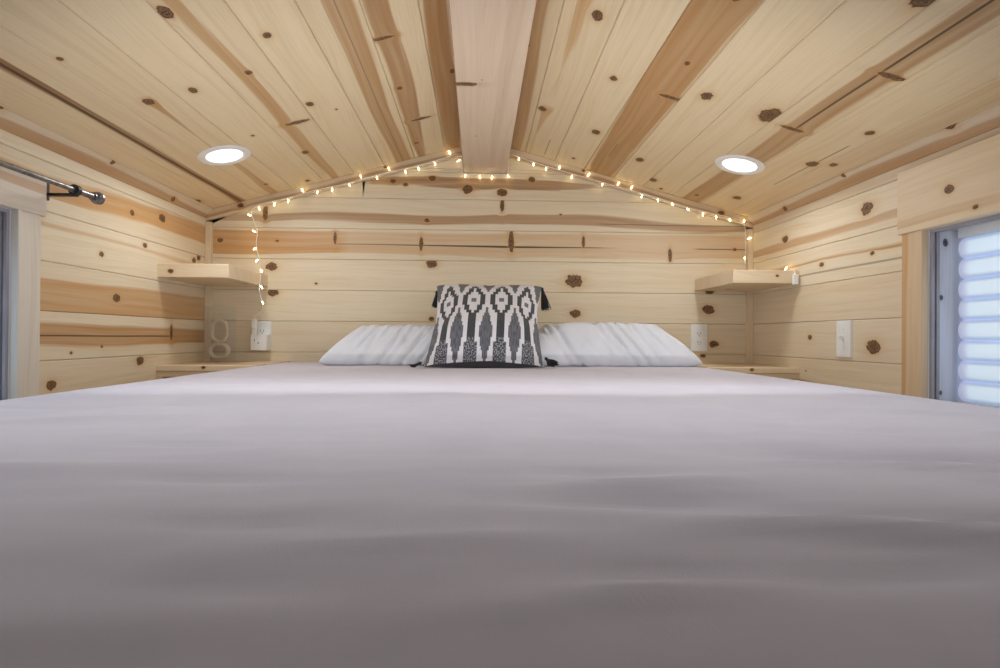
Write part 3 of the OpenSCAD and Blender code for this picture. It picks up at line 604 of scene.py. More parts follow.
class BoardMesh:
    def __init__(self, name, seed):
        self.name = name
        self.random = random.Random(seed)
        self.bm = bmesh.new()
        self.layers = [self.bm.loops.layers.float_vector.new(key) for key in boardLayers]

    # origin and directions: along the board, across it, and out of its face
    def addBoard(self, directions, ends, edges, thick, knots=None, tone=None, bands=None, streaks=None,
                 seed=None, centre=None, cutEnds=None, shape="lining"):
        origin, along, across, out = directions
        low, high = edges
        rng = self.random
        width = high - low
        middle = (low + high) / 2 if centre is None else centre
        if seed is None:
            seed = rng.uniform(0, 90)
        if tone is None:
            tone = (rng.uniform(0.93, 1.04), rng.uniform(0.0, 0.16), rng.uniform(0.1, 0.7))
        if bands is None:
            power = rng.choice((0, 0, 0, 0.6, 0.9))
            bands = [(0, rng.uniform(-0.35, 0.35) * width, rng.uniform(0.08, 0.26) * width, power)]
        if knots is None:
            knots = self.looseKnots(ends, width)
        streaks = streaks or noBand
        knots = sorted(knots)
        profile = self.profile(low, high, thick, shape)
        startAt, endAt = cutEnds or ((lambda w: ends[0]), (lambda w: ends[1]))
        borders = self.borders(ends, knots, bands + streaks)
        columns = []
        for index, border in enumerate(borders):
            column = []
            for w, n in profile:
                place = border
                if index == 0:
                    place = startAt(w)
                elif index == len(borders) - 1:
                    place = endAt(w)
                column.append((place, w, n, self.bm.verts.new(origin + along * place + across * w + out * n)))
            columns.append(column)
        values = {"seed": seed, "middle": middle, "tone": tone, "bands": bands, "streaks": streaks}
        for first, second in zip(columns, columns[1:]):
            midway = (first[0][0] + second[0][0]) / 2
            knot = min(knots, key=lambda k: abs(k[0] - midway), default=None)
            for side in range(len(profile)):
                after = (side + 1) % len(profile)
                self.addFace((first[side], second[side], second[after], first[after]), values, knot)
        for column in (columns[0], columns[-1]):
            self.addFace(column, values, None)

    def looseKnots(self, ends, width):
        knots = []
        place = ends[0] + self.random.uniform(0.02, boardLook["knotEvery"])
        while place < ends[1]:
            size = self.random.choice((0.003, 0.005, 0.007, 0.011, 0.015, -0.009)) * min(1, width / 0.11)
            knots.append((place, self.random.uniform(-0.42, 0.42) * width, size))
            place += self.random.uniform(0.12, 2) * boardLook["knotEvery"]
        return knots

    def profile(self, low, high, thick, shape):
        if shape == "bar":
            ease = boardLook["ease"]
            return [(low + ease, -thick), (low, ease - thick), (low, -ease), (low + ease, 0.0),
                    (high - ease, 0.0), (high, -ease), (high, ease - thick), (high - ease, -thick)]
        gap, bevel = boardLook["gap"] / 2, boardLook["bevel"]
        return [(low + gap, -thick), (low + gap, -bevel), (low + gap + bevel, 0.0),
                (high - gap - bevel, 0.0), (high - gap, -bevel), (high - gap, -thick)]

    def borders(self, ends, knots, points):
        places = [(a[0] + b[0]) / 2 for a, b in zip(knots, knots[1:])]
        places += [point[0] for point in points]
        made = [ends[0]]
        for place in sorted(places):
            if place > made[-1] + 0.004 and place < ends[1] - 0.004:
                made.append(place)
        return made + [ends[1]]

    def addFace(self, corners, values, knot):
        face = self.bm.faces.new([corner[3] for corner in corners])
        grain, tone, band, streak, knotLayer = self.layers
        for loop in face.loops:
            place, w, n = next(corner[:3] for corner in corners if corner[3] == loop.vert)
            offset = w - values["middle"]
            loop[grain] = (place + values["seed"], offset + n * 0.6, values["seed"])
            loop[tone] = values["tone"]
            loop[band] = between(values["bands"], place)
            loop[streak] = between(values["streaks"], place)
            deeper = n - knot[3] if knot and len(knot) > 3 else 0.0
            loop[knotLayer] = (place - knot[0], offset - knot[1] + deeper, knot[2]) if knot else (0, 0, 0)

    def finish(self, material, slot, *nodes):
        return standFor(addMesh(self.name, self.bm, material), slot, *nodes)


# What each board row looks like, with places in metres: tone (lightness, warmth, brown of its heartwood),
# bands and streaks (place along, offset from the board's middle, half width, strength), and
# knots (place along, offset, radius, and depth under the face for one in an edge).
# On the end wall a place is X, elsewhere it is from the end wall.
noBand = [(0, 0, 0, 0)]
endWallLook = {
    0: {"tone": (1.0, 0.0, 0.2), "bands": None},
    1: {"tone": (1.0, 0.02, 0.2), "knots": [(0.915, 0.057, 0.008)]},
    2: {"tone": (1.0, 0.04, 0.2), "knots": [(0.963, -0.020, 0.014)]},
    3: {"tone": (1.04, 0.0, 0.1),
        "knots": [(0.379, -0.023, 0.016), (-0.856, 0.053, 0.015), (0.939, -0.002, 0.018),
                  (-0.216, -0.050, 0.008)]},
    4: {"tone": (1.04, 0.02, 0.1),
        "knots": [(0.373, -0.015, 0.026), (-0.216, 0.050, 0.016), (-0.864, 0.031, 0.016),
                  (-0.685, -0.036, 0.004), (0.944, -0.050, 0.014)]},
    5: {"tone": (1.0, 0.05, 0.1),
        "bands": [(-1.1, 0.003, 0.051, 0.9), (-0.60, 0.003, 0.050, 0.85), (-0.55, 0.0, 0.049, 0.5),
                  (1.1, 0.0, 0.049, 0.45)],
        "streaks": [(-0.62, 0, 0.0015, 0), (-0.60, 0, 0.0015, 0.6), (-0.2, -0.002, 0.0025, 0.9),
                    (0.1, -0.004, 0.004, 1), (0.45, -0.004, 0.002, 0.8), (0.58, -0.004, 0.001, 0),
                    (0.86, -0.004, 0.001, 0), (0.90, -0.004, 0.002, 0.8), (1.05, -0.004, 0.002, 0.8)],
        "knots": [(0.11, 0.022, -0.018), (-0.61, 0.025, -0.010), (-0.26, 0.005, -0.012),
                  (0.41, 0.022, -0.010), (0.775, -0.03, -0.012), (-1.07, 0.010, 0.008),
                  (-0.843, 0.01, 0.005), (1.05, -0.003, 0.006)]},
    6: {"tone": (1.0, 0.04, 0.75),
        "bands": [(-1.12, -0.028, 0.012, 0.6), (-0.6, -0.020, 0.019, 0.8), (-0.24, -0.026, 0.019, 0.85),
                  (0.09, -0.016, 0.021, 0.85), (0.35, -0.022, 0.021, 0.85), (0.75, -0.027, 0.016, 0.8),
                  (1.1, -0.040, 0.012, 0.7)],
        "streaks": [(0.45, -0.030, 0.001, 0), (0.5, -0.030, 0.0015, 0.7), (1.0, -0.030, 0.0015, 0.7)],
        "knots": [(0.072, 0.042, -0.013), (-0.237, -0.025, 0.008), (0.315, 0.007, 0.004),
                  (-0.891, -0.002, -0.015)]},
    7: {"tone": (0.98, 0.06, 0.8),
        "bands": [(-0.50, 0.006, 0.010, 0), (-0.46, 0.006, 0.014, 0.8), (-0.30, 0.008, 0.020, 0.9),
                  (-0.07, -0.005, 0.027, 0.95), (0.10, -0.001, 0.026, 0.95), (0.30, 0, 0.021, 0.9),
                  (0.45, 0.006, 0.010, 0.6), (0.55, 0.006, 0.006, 0)],
        "knots": [(-0.216, 0.022, 0.010), (-0.072, -0.021, 0.016), (0.072, -0.032, 0.015),
                  (0.195, 0.024, 0.011), (-0.376, 0.008, 0.009), (-0.325, -0.005, 0.007)]},
    8: {"tone": (1.0, 0.05, 0.3), "knots": []},
}
leftWallLook = {
    1: {"tone": (1.0, 0.15, 0.2), "knots": [(0.45, 0.047, 0.014), (0.83, 0, 0.012)]},
    2: {"tone": (1.0, 0.05, 0.4), "bands": [(0, 0, 0.030, 0.9)],
        "streaks": [(0.24, 0, 0.002, 0), (0.26, 0, 0.002, 0.9), (2.4, 0, 0.002, 0.8)],
        "knots": [(0.264, 0.012, -0.012), (0.636, -0.03, 0.004), (0.76, -0.045, 0.004)]},
    3: {"tone": (1.0, 0.08, 0.2), "bands": [(0, -0.019, 0.045, 0.8)], "knots": [(0.57, -0.011, 0.012)]},
    4: {"tone": (1.02, 0.02, 0.2), "bands": [(0.2, 0.024, 0.008, 0.5), (0.9, 0.024, 0.008, 0.5)],
        "knots": [(0.072, 0.055, 0.011), (0.108, 0.039, 0.010), (0.428, 0.045, 0.008), (0.641, -0.015, 0.007),
                  (0.276, -0.028, 0.014)]},
    5: {"tone": (1.0, 0.08, 0.05), "bands": [(0.04, 0.016, 0.032, 0.85), (0.4, 0.011, 0.030, 0.85),
                                             (0.85, -0.004, 0.030, 0.85), (2.4, -0.01, 0.028, 0.8)],
        "knots": [(0.328, 0.029, 0.014), (0.499, 0.011, 0.009)]},
    6: {"tone": (1.03, 0.0, 0.2)},
}
rightWallLook = {
    2: {"tone": (1.0, 0.08, 0.2), "knots": [(0.422, 0.010, 0.008), (0.734, -0.018, 0.020)]},
    3: {"tone": (1.0, 0.12, 0.2), "knots": []},
    4: {"tone": (1.02, 0.03, 0.3), "bands": [(0, 0.012, 0.005, 0.9)], "streaks": [(0, -0.026, 0.003, 0.5)],
        "knots": [(0.487, 0, 0.008), (0.728, 0.002, 0.006)]},
    5: {"tone": (1.0, 0.04, 0.4), "bands": [(0.2, -0.022, 0.014, 0.7), (0.83, -0.022, 0.014, 0.7)],
        "knots": [(0.262, -0.003, 0.013), (0.706, 0.011, 0.018)]},
    6: {"tone": (0.95, 0.25, 0.5)},
}
leftCeilingLook = {
    0: {"tone": (0.97, 0.08, 0.6), "bands": [(0, -0.001, 0.030, 0.95)], "knots": [(0.675, -0.024, 0.010)]},
    1: {"tone": (1.0, 0.05, 0.7), "bands": [(0, 0.027, 0.019, 0.85), (0.15, 0.027, 0.023, 0.85),
                                            (0.42, 0.022, 0.028, 0.85), (0.9, 0.027, 0.026, 0.85)],
        "knots": [(0.393, 0.001, -0.014), (0.18, 0.039, 0.009), (0.93, 0.042, -0.012), (0.65, 0.037, 0.008)]},
    2: {"tone": (1.0, 0.05, 0.55), "bands": [(0, -0.010, 0.030, 0.8), (0.4, -0.008, 0.032, 0.8),
                                             (0.9, -0.013, 0.034, 0.8)],
        "streaks": [(0, -0.012, 0.0015, 0.5)], "knots": []},
    3: {"tone": (1.03, 0.02, 0.2),
        "knots": [(0.687, 0.044, 0.010), (1.05, 0.030, 0.009), (0.615, -0.016, 0.004)]},
    4: {"tone": (1.0, 0.04, 0.35), "bands": [(0, 0.018, 0.014, 0.75), (0.3, 0.013, 0.024, 0.75),
                                             (0.9, 0.017, 0.020, 0.75), (1.2, 0.028, 0.018, 0.75)],
        "knots": [(0.352, 0.034, 0.011), (0.592, -0.015, -0.016), (0.922, -0.001, 0.008),
                  (1.2, 0.05, 0.014)]},
    5: {"tone": (1.03, 0.02, 0.2),
        "knots": [(0.904, 0.020, 0.010), (0.577, 0.002, 0.005), (0.067, -0.011, 0.009)]},
    6: {"tone": (1.0, 0.04, 0.5), "bands": [(0, 0.005, 0.016, 0.8), (0.4, 0.002, 0.010, 0.6),
                                            (0.65, 0.002, 0.004, 0.6), (0.9, 0.004, 0.012, 0.9),
                                            (0.93, 0.004, 0.012, 0)],
        "knots": [(0.9, 0.006, 0.012), (0.142, 0.002, 0.007), (1.137, 0.05, 0.006)]},
    7: {"tone": (1.0, 0.06, 1.0), "bands": [(0, 0.021, 0.014, 1)], "streaks": [(0, 0.023, 0.004, 0.9)],
        "knots": []},
    8: {"tone": (1.0, 0.05, 0.3), "knots": [(0.145, 0.019, 0.018), (0.618, 0.019, 0.004)]},
}
rightCeilingLook = {
    0: {"tone": (0.97, 0.08, 0.5), "bands": [(0, -0.009, 0.026, 0.8)], "knots": [(0.83, -0.03, 0.010)]},
    1: {"tone": (1.0, 0.06, 0.2),
        "bands": [(0.24, -0.039, 0.002, 0.6), (0.40, -0.033, 0.010, 0.7), (0.48, -0.03, 0.018, 0.8),
                  (0.52, -0.03, 0.018, 0), (0.75, -0.025, 0.002, 0.5), (0.95, -0.022, 0.015, 0.6),
                  (1.1, -0.015, 0.02, 0.7)],
        "streaks": [(0.05, 0.017, 0.001, 0), (0.06, 0.017, 0.0015, 0.7), (0.22, 0.017, 0.0015, 0.7),
                    (0.24, 0.017, 0.001, 0)],
        "knots": [(0.472, -0.044, 0.012), (1.045, 0.019, 0.014)]},
    2: {"tone": (1.03, 0.03, 0.2),
        "knots": [(0.105, 0.002, 0.007), (0.412, 0.028, 0.014), (0.792, -0.005, 0.010)]},
    3: {"tone": (1.0, 0.35, 0.45), "bands": [(0, -0.006, 0.057, 0.95)],
        "streaks": [(0.22, -0.009, 0.001, 0), (0.24, -0.009, 0.0015, 0.6), (0.36, -0.009, 0.0015, 0.6),
                    (0.38, -0.009, 0.001, 0)],
        "knots": [(0.783, 0.038, -0.014), (0.965, 0.014, 0.007), (1.23, 0.014, 0.008)]},
    4: {"tone": (1.03, 0.03, 0.2),
        "knots": [(0.285, -0.030, 0.014), (0.843, -0.011, 0.015)]},
    5: {"tone": (1.03, 0.02, 0.2),
        "knots": [(0.125, -0.052, 0.014), (0.050, 0.005, 0.007), (0.843, 0.043, 0.028),
                  (1.365, 0.043, 0.018)]},
    6: {"tone": (1.0, 0.06, 0.6), "bands": [(0, 0.011, 0.034, 0.8)],
        "streaks": [(0.80, 0.006, 0.003, 0), (0.82, 0.006, 0.003, 0.9), (1.35, 0.006, 0.003, 0.9)],
        "knots": [(0.097, 0.014, 0.008), (0.808, 0, -0.014), (1.14, 0.033, -0.014)]},
    7: {"tone": (1.02, 0.04, 0.2),
        "streaks": [(0.40, 0.040, 0.001, 0), (0.42, 0.040, 0.0025, 0.6), (0.8, 0.040, 0.0025, 0.6),
                    (0.82, 0.040, 0.001, 0)],
        "knots": [(0.192, 0.012, 0.014), (0.642, 0.037, 0.015), (0.9, 0.033, 0.010)]},
    8: {"tone": (1.0, 0.15, 0.2), "knots": [(0.675, -0.044, 0.010)]},
}


# A row's values for addBoard. Without bands of its own it has none, and None makes them random.
def rowValues(look, row):
    return {"bands": noBand, **look[row]} if row in look else {}


# End wall: level boards counted up from the floor, cut to the two slopes and round the beam
def buildEndWall():
    boards = BoardMesh("end_lining_boards", 11)
    origin = Vector((0, endY, floorZ))
    directions = (origin, sideX, upZ, -alongY)
    peak = ridgeZ - floorZ
    notch = beamZ - floorZ
    row = 0
    while row * boardWidth < peak - 0.002:
        low, high = row * boardWidth, min((row + 1) * boardWidth, peak - 0.001)
        common = {**rowValues(endWallLook, row), "seed": row * 3.1 + 2.0, "centre": low + boardWidth / 2}

        def reach(w):
            return min(coreX, max(beamX + 0.0015, (peak - w) / roofSlope))

        def place(boards, start, stop, edges):
            boards.addBoard(directions, (start(edges[0]), stop(edges[0])), edges, boardThick,
                            cutEnds=(start, stop), **common)

        if low < notch:
            place(boards, lambda w: -reach(w), reach, (low, min(high, notch)))
        if high > notch + 0.004:
            upper = (max(low, notch), min(high, peak - beamX * roofSlope))
            if upper[1] > upper[0] + 0.004:
                place(boards, lambda w: -reach(w), lambda w: -beamX, upper)
                place(boards, lambda w: beamX, reach, upper)
        row += 1
    return boards.finish(liningPine, "lining_pine", "end_lining")


# Side walls: level boards that the window cuts
def buildSideWall(name, node, jambNode, sign, seed, look):
    boards = BoardMesh(name, seed)
    holeLow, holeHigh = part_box(jambNode)
    directions = (Vector((sign * wallX, endY, floorZ)), -alongY, upZ, Vector((-sign, 0, 0)))
    total = endY - frontY
    holeEnds = (endY - holeHigh.y, endY - holeLow.y)
    holeBottom, holeTop = holeLow.z - floorZ, holeHigh.z - floorZ
    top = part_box(node)[1].z - floorZ
    row = 0
    while row * boardWidth < top - 0.002:
        low, high = row * boardWidth, min((row + 1) * boardWidth, top)
        common = {**rowValues(look, row), "seed": row * 5.3 + seed, "centre": low + boardWidth / 2}
        pieces = [((0, total), (low, high))]
        if high > holeBottom and low < holeTop:
            pieces = [((0, holeEnds[0]), (low, high)), ((holeEnds[1], total), (low, high))]
            if low < holeBottom - 0.008:
                pieces.append((holeEnds, (low, holeBottom)))
            if high > holeTop + 0.008:
                pieces.append((holeEnds, (holeTop, high)))
        for ends, edges in pieces:
            boards.addBoard(directions, ends, edges, boardThick, **common)
        row += 1
    return boards.finish(liningPine, "lining_pine", node)


# Ceiling: boards run along the house, counted from the ridge beam down to the side wall
def buildCeiling(name, node, sign, seed, look):
    boards = BoardMesh(name, seed)
    down = Vector((sign * math.cos(roofPitch), 0, -math.sin(roofPitch)))
    out = Vector((-sign * math.sin(roofPitch), 0, -math.cos(roofPitch)))
    directions = (Vector((sign * beamX, endY, ceilingZ(beamX))), -alongY, down, out)
    length = (coreX - beamX) / math.cos(roofPitch)
    firstWidth = 0.078  # the board beside the beam is ripped narrow
    row, low = 0, 0.0
    while low < length - 0.004:
        width = firstWidth if row == 0 else boardWidth
        high = min(low + width, length)
        boards.addBoard(directions, (endY - coreY, endY - frontY), (low, high), boardThick,
                        seed=row * 4.7 + seed, centre=low + width / 2, **rowValues(look, row))
        row, low = row + 1, high
    return boards.finish(ceilingPine, "ceiling_pine", node)


buildEndWall()
buildSideWall("left_lining_boards", "left_lining", "left_jamb", -1, 41, leftWallLook)
buildSideWall("right_lining_boards", "right_lining", "right_jamb", 1, 51, rightWallLook)
buildCeiling("left_ceiling_boards", "left_ceiling", -1, 61, leftCeilingLook)
buildCeiling("right_ceiling_boards", "right_ceiling", 1, 71, rightCeilingLook)
print("lining boards laid")

# Trims: bars with eased edges, with a knot here and there as on the real ones
trimLook = {"jambThick": 0.016, "casing": 0.068, "casingThick": 0.019, "rakeWide": 0.038, "corner": 0.022,
            "plain": {"tone": (1.0, 0.02, 0.3), "bands": noBand, "knots": []}}


# A bar that fills a box, with its grain along one axis and its face towards another
def addBar(boards, low, high, along, out, **values):
    low, high = Vector(low), Vector(high)
    size = high - low
    across = Vector([abs(c) for c in along.cross(out)])
    origin = low.copy()
    if sum(out) > 0:
        origin += out * size.dot(out)
    values.setdefault("shape", "bar")
    boards.addBoard((origin, along, across, out), (0, size.dot(along)), (0, size.dot(across)),
                    abs(size.dot(out)), **values)


# The two limits in X of something from a to b out from the middle, on one side of the house
def onSide(sign, a, b):
    return sorted((sign * a, sign * b))


def windowHole(side):
    low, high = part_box(side + "_jamb")
    t = trimLook["jambThick"]
    return low.y + t, high.y - t, low.z + t, high.z - t


casingLook = {
    "left": {"head": {"tone": (1.0, 0.06, 0.3), "bands": [(0, 0.02, 0.012, 0.7)],
                      "knots": [(0.9, 0.0, 0.008)]},
             "far": {"tone": (1.0, 0.0, 0.2), "bands": noBand, "knots": []},
             "near": {"tone": (1.0, 0.05, 0.3)}, "sill": {"tone": (1.0, 0.05, 0.3)}},
    "right": {"head": {"tone": (1.0, 0.03, 0.3), "bands": [(0, -0.055, 0.010, 0.35)],
                       "knots": [(0.903, -0.003, 0.010), (0.83, -0.062, 0.005)]},
              "far": {"tone": (0.97, 0.30, 0.0), "bands": [(0, 0.026, 0.010, 0.8)], "knots": []},
              "near": {"tone": (1.0, 0.05, 0.3)}, "sill": {"tone": (1.0, 0.05, 0.3)}},
}


def buildCasing(side, sign):
    look, sizes = casingLook[side], trimLook
    y0, y1, z0, z1 = windowHole(side)
    low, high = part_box(side + "_casing")
    wide = sizes["casing"]
    boards = BoardMesh(side + "_casing_boards", 81 + sign)
    thin = onSide(sign, wallX - sizes["casingThick"], wallX)
    thick = (low.x, high.x)
    out = Vector((-sign, 0, 0))
    addBar(boards, (thin[0], y1, z0), (thin[1], y1 + wide, z1), upZ, out, **look["far"])
    addBar(boards, (thin[0], y0 - wide, z0), (thin[1], y0, z1), upZ, out, **look["near"])
    addBar(boards, (thick[0], low.y, z1), (thick[1], high.y, high.z), alongY, out, **look["head"])
    addBar(boards, (thick[0], y0 - wide, low.z), (thick[1], y1 + wide, z0), alongY, out, **look["sill"])
    return boards.finish(paleTrimPine if side == "left" else trimPine, "trim_pine", side + "_casing")


# The knots of its far board: height over the floor, distance from the room's face, and radius
jambLook = {
    "plain": {"tone": (1.0, 0.05, 0.5), "bands": [(0, 0.01, 0.012, 0.3)]},
    "knots": [(0.568, 0.044, 0.007), (0.428, 0.033, 0.005), (0.186, 0.032, 0.004)],
}


def buildJamb(side, sign):
    y0, y1, z0, z1 = windowHole(side)
    low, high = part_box(side + "_jamb")
    boards = BoardMesh(side + "_jamb_boards", 91 + sign)
    plain = jambLook["plain"]
    middle = (high.x - low.x) / 2
    knots = [(z + floorZ - z0, sign * (deep - middle), radius) for z, deep, radius in jambLook["knots"]]
    far = {**plain, "bands": [(0, 0.03 * sign, 0.010, 0.3)], "knots": knots}
    addBar(boards, (low.x, y1, z0), (high.x, high.y, z1), upZ, -alongY, **far)
    addBar(boards, (low.x, low.y, z0), (high.x, y0, z1), upZ, alongY, **plain)
    addBar(boards, (low.x, low.y, z1), (high.x, high.y, high.z), alongY, -upZ, **plain)
    addBar(boards, (low.x, low.y, low.z), (high.x, high.y, z0), alongY, upZ, **plain)
    return boards.finish(jambPine, "jamb_pine", side + "_jamb")


rakeLook = {
    "tone": (0.97, 0.10, 0.7),
    "bands": [(0, -0.012, 0.006, 0.7), (0.4, 0.0, 0.009, 0.8), (0.8, -0.004, 0.006, 0.7)],
    "knots": [(0.93, 0.004, 0.009), (0.33, 0.012, 0.005)],
}


# Strips on the end wall under the ceiling, each cut plumb at both ends
def buildRakeStrips():
    boards = BoardMesh("rake_strip_boards", 95)
    wide = trimLook["rakeWide"]
    cos, sin = math.cos(roofPitch), math.sin(roofPitch)
    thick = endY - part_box("rake_strips")[0].y
    long = (wallX - beamX) / cos
    for sign in (-1, 1):
        down, up = Vector((sign * cos, 0, -sin)), Vector((sign * sin, 0, cos))
        origin = Vector((sign * beamX, endY - thick, ceilingZ(beamX)))
        cutEnds = (lambda w: -w * roofSlope), (lambda w: long - w * roofSlope)
        boards.addBoard((origin, down, up, -alongY), (0, long), (-wide, 0), thick, shape="bar",
                        cutEnds=cutEnds, seed=3.0 + sign, **rakeLook)
    return boards.finish(trimPine, "trim_pine", "rake_strips")


def buildCornerStrips():
    boards = BoardMesh("corner_strip_boards", 97)
    shelfLow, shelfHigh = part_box("right_shelf")
    stripLow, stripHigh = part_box("corner_strips")
    wide = trimLook["corner"]
    for sign in (-1, 1):
        x = onSide(sign, wallX - wide, wallX)
        for z in ((stripLow.z, shelfLow.z), (shelfHigh.z, stripHigh.z - 0.006)):
            addBar(boards, (x[0], endY - wide, z[0]), (x[1], endY, z[1]), upZ, -alongY, **trimLook["plain"])
    return boards.finish(trimPine, "trim_pine", "corner_strips")


beamLook = {
    "seed": 7.7, "tone": (1.0, 0.03, 0.3),
    "bands": [(0, 0.03, 0.012, 0.16), (1.2, 0.045, 0.02, 0.2), (2.4, 0.05, 0.02, 0.2)],
    "streaks": [(0, -0.0885, 0.0012, 0.5)],
    "knots": [(0.816, -0.066, -0.016), (0.426, -0.036, 0.0022), (0.842, -0.019, 0.0018),
              (1.25, 0.052, 0.004)],
}


# Ridge beam: a planed pine box, with a long spike knot on its left edge
def buildBeam():
    boards = BoardMesh("ridge_beam_board", 99)
    low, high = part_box("ridge_beam")
    ease = 0.003
    side = high.z - roofSlope * beamX - beamZ
    profile = [(-beamX, -side), (-beamX, -ease), (ease - beamX, 0.0), (beamX - ease, 0.0), (beamX, -ease),
               (beamX, -side), (0, beamZ - high.z)]
    directions = (Vector((0, endY, beamZ)), -alongY, sideX, -upZ)
    ends = (endY - high.y, endY - low.y)
    boards.addBoard(directions, ends, (-beamX, beamX), side, shape=profile, **beamLook)
    return boards.finish(beamPine, "beam_pine", "ridge_beam")


# Corner shelves: thick planed slabs, and open boxes below them beside the mattress
shelfLook = {
    "left": {"tone": (1.06, 0.0, 0.5), "bands": noBand,
             "knots": [(0.045, -0.178, 0.007, -0.026), (0.20, 0.05, 0.008)]},
    "right": {"tone": (1.03, 0.02, 0.5), "bands": noBand,
              "knots": [(0.16, -0.178, 0.004, -0.020), (0.1, 0.08, 0.009)]},
}
boxLook = {
    "panel": 0.020,
    "top": {"tone": (0.98, 0.05, 0.4), "bands": [(0, -0.1, 0.02, 0.7)],
            "knots": [(0.16, -0.178, 0.005, -0.010), (0.1, 0.06, 0.008)]},
}


def buildShelves():
    for side in ("left", "right"):
        boards = BoardMesh(side + "_shelf_slab", 101)
        low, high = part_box(side + "_shelf")
        addBar(boards, low, high, sideX, upZ, seed=12.0, **shelfLook[side])
        boards.finish(trimPine, "trim_pine", side + "_shelf")


def buildBedsideBoxes():
    t = boxLook["panel"]
    tops = BoardMesh("bedside_top_boards", 107)
    for side, sign in (("left", -1), ("right", 1)):
        boards = BoardMesh(side + "_bedside_panels", 103 + sign)
        low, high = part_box(side + "_bedside_box")
        inner = onSide(sign, abs(low.x + high.x) / 2 - (high.x - low.x) / 2 + t, wallX - t)
        addBar(boards, low, (high.x, high.y, low.z + t), sideX, upZ)
        addBar(boards, (low.x, low.y, high.z - t), high, sideX, -upZ)
        addBar(boards, (low.x, low.y, low.z + t), (inner[0], high.y, high.z - t), upZ, -sideX)
        addBar(boards, (inner[1], low.y, low.z + t), (high.x, high.y, high.z - t), upZ, sideX)
        addBar(boards, (inner[0], high.y - t, low.z + t), (inner[1], high.y, high.z - t), sideX, -alongY)
        boards.finish(trimPine, "trim_pine", side + "_bedside_box")
        topLow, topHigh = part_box("bedside_tops")
        topCorners = (low.x, topLow.y, topLow.z), (high.x, topHigh.y, topHigh.z)
        addBar(tops, *topCorners, sideX, upZ, **boxLook["top"])
    tops.finish(trimPine, "trim_pine", "bedside_tops")


# Floor boards run along the house, and plain casings go round the windows outside
outsideLook = {"floorBoard": 0.140, "casing": 0.068, "inset": 0.020}
sidingTrim = boardMaterial("sidingTrim", woodColors((0.58, 0.39, 0.225, 1), (0.44, 0.27, 0.14, 1),
                                                    (0.36, 0.17, 0.07, 1), (0.22, 0.11, 0.05, 1)), 0.6)


def buildFloorBoards():
    boards = BoardMesh("floor_deck_boards", 109)
    low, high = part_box("floor_deck")
    count = round((high.x - low.x) / outsideLook["floorBoard"])
    wide = (high.x - low.x) / count
    for k in range(count):
        x = low.x + k * wide
        addBar(boards, (x, low.y, low.z), (x + wide, high.y, high.z), alongY, upZ, shape="lining")
    return boards.finish(liningPine, "lining_pine", "floor_deck")


def buildOutsideCasings():
    boards = BoardMesh("outside_casing_boards", 113)
    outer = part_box("outside_casings")[1].x
    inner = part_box("right_siding")[1].x
    wide, inset = outsideLook["casing"], outsideLook["inset"]
    for side, sign in (("left", -1), ("right", 1)):
        y0, y1, z0, z1 = windowHole(side)
        y0, y1, z0, z1 = y0 - inset, y1 + inset, z0 - inset, z1 + inset
        x = onSide(sign, inner, outer)
        out = Vector((sign, 0, 0))
        addBar(boards, (x[0], y0 - wide, z1), (x[1], y1 + wide, z1 + wide), alongY, out)
        addBar(boards, (x[0], y0 - wide, z0 - wide), (x[1], y1 + wide, z0), alongY, out)
        addBar(boards, (x[0], y0 - wide, z0), (x[1], y0, z1), upZ, out)
        addBar(boards, (x[0], y1, z0), (x[1], y1 + wide, z1), upZ, out)
    return boards.finish(sidingTrim, "siding_pine", "outside_casings")


for side, sign in (("left", -1), ("right", 1)):
    buildCasing(side, sign)
    buildJamb(side, sign)
buildRakeStrips()
buildCornerStrips()
buildBeam()
buildShelves()
buildBedsideBoxes()
buildFloorBoards()
buildOutsideCasings()
print("trims, shelves and floor built")


# Framing, siding and roof boards keep their own mesh, and their pine takes its rows from the place on
# the house
def buildTimberGroup():
    tree, given, made = newGroup(
        "timberRows",
        {"Float": ("Along", "Across", "Row Width"), "Color": woodParts},
        {"Color": ("Color",), "Float": ("Height",)})
    row = (given["Across"] / given["Row Width"]).math("FLOOR")
    inRow = given["Across"] - (row + 0.5) * given["Row Width"]
    chance = addNode(tree, "ShaderNodeTexWhiteNoise", noise_dimensions="1D", W=row)
    first, second, third = splitVector(Value(chance.outputs["Color"]))
    knotSpace = joinVector(given["Along"].scaled(2.4, first * 9.0), row * 5.37, 0.0)
    cells = addNode(tree, "ShaderNodeTexVoronoi", voronoi_dimensions="2D", Vector=knotSpace, Scale=1.0)
    cellX = splitVector(Value(cells.outputs["Position"]))[0]
    knotAlong = (splitVector(knotSpace)[0] - cellX) / 2.4
    cellColor = splitVector(Value(cells.outputs["Color"]))
    offset = cellColor[0].scaled(0.8, -0.4) * given["Row Width"]
    size = cellColor[1].scaled(0.01, 0.003) * cellColor[2].math("GREATER_THAN", 0.35)
    tone = joinVector(first.scaled(0.16, 0.9), second * 0.22, third)
    bandAt = second.scaled(0.7, -0.35) * given["Row Width"]
    hasBand = first.math("GREATER_THAN", 0.55)
    wood = placeGroup(tree, pineGroup, {
        "Grain": joinVector(first.scaled(50.0, given["Along"]), inRow, row * 3.7), "Tone": tone,
        "Band": joinVector(bandAt, third.scaled(0.02, 0.006), hasBand * 0.8), "Streak": (0, 0, 0),
        "Knot": joinVector(knotAlong, inRow - offset, size), **{part: given[part] for part in woodParts}})
    setInputs(made, {"Color": wood["Color"], "Height": wood["Height"]})
    return tree


timberGroup = buildTimberGroup()


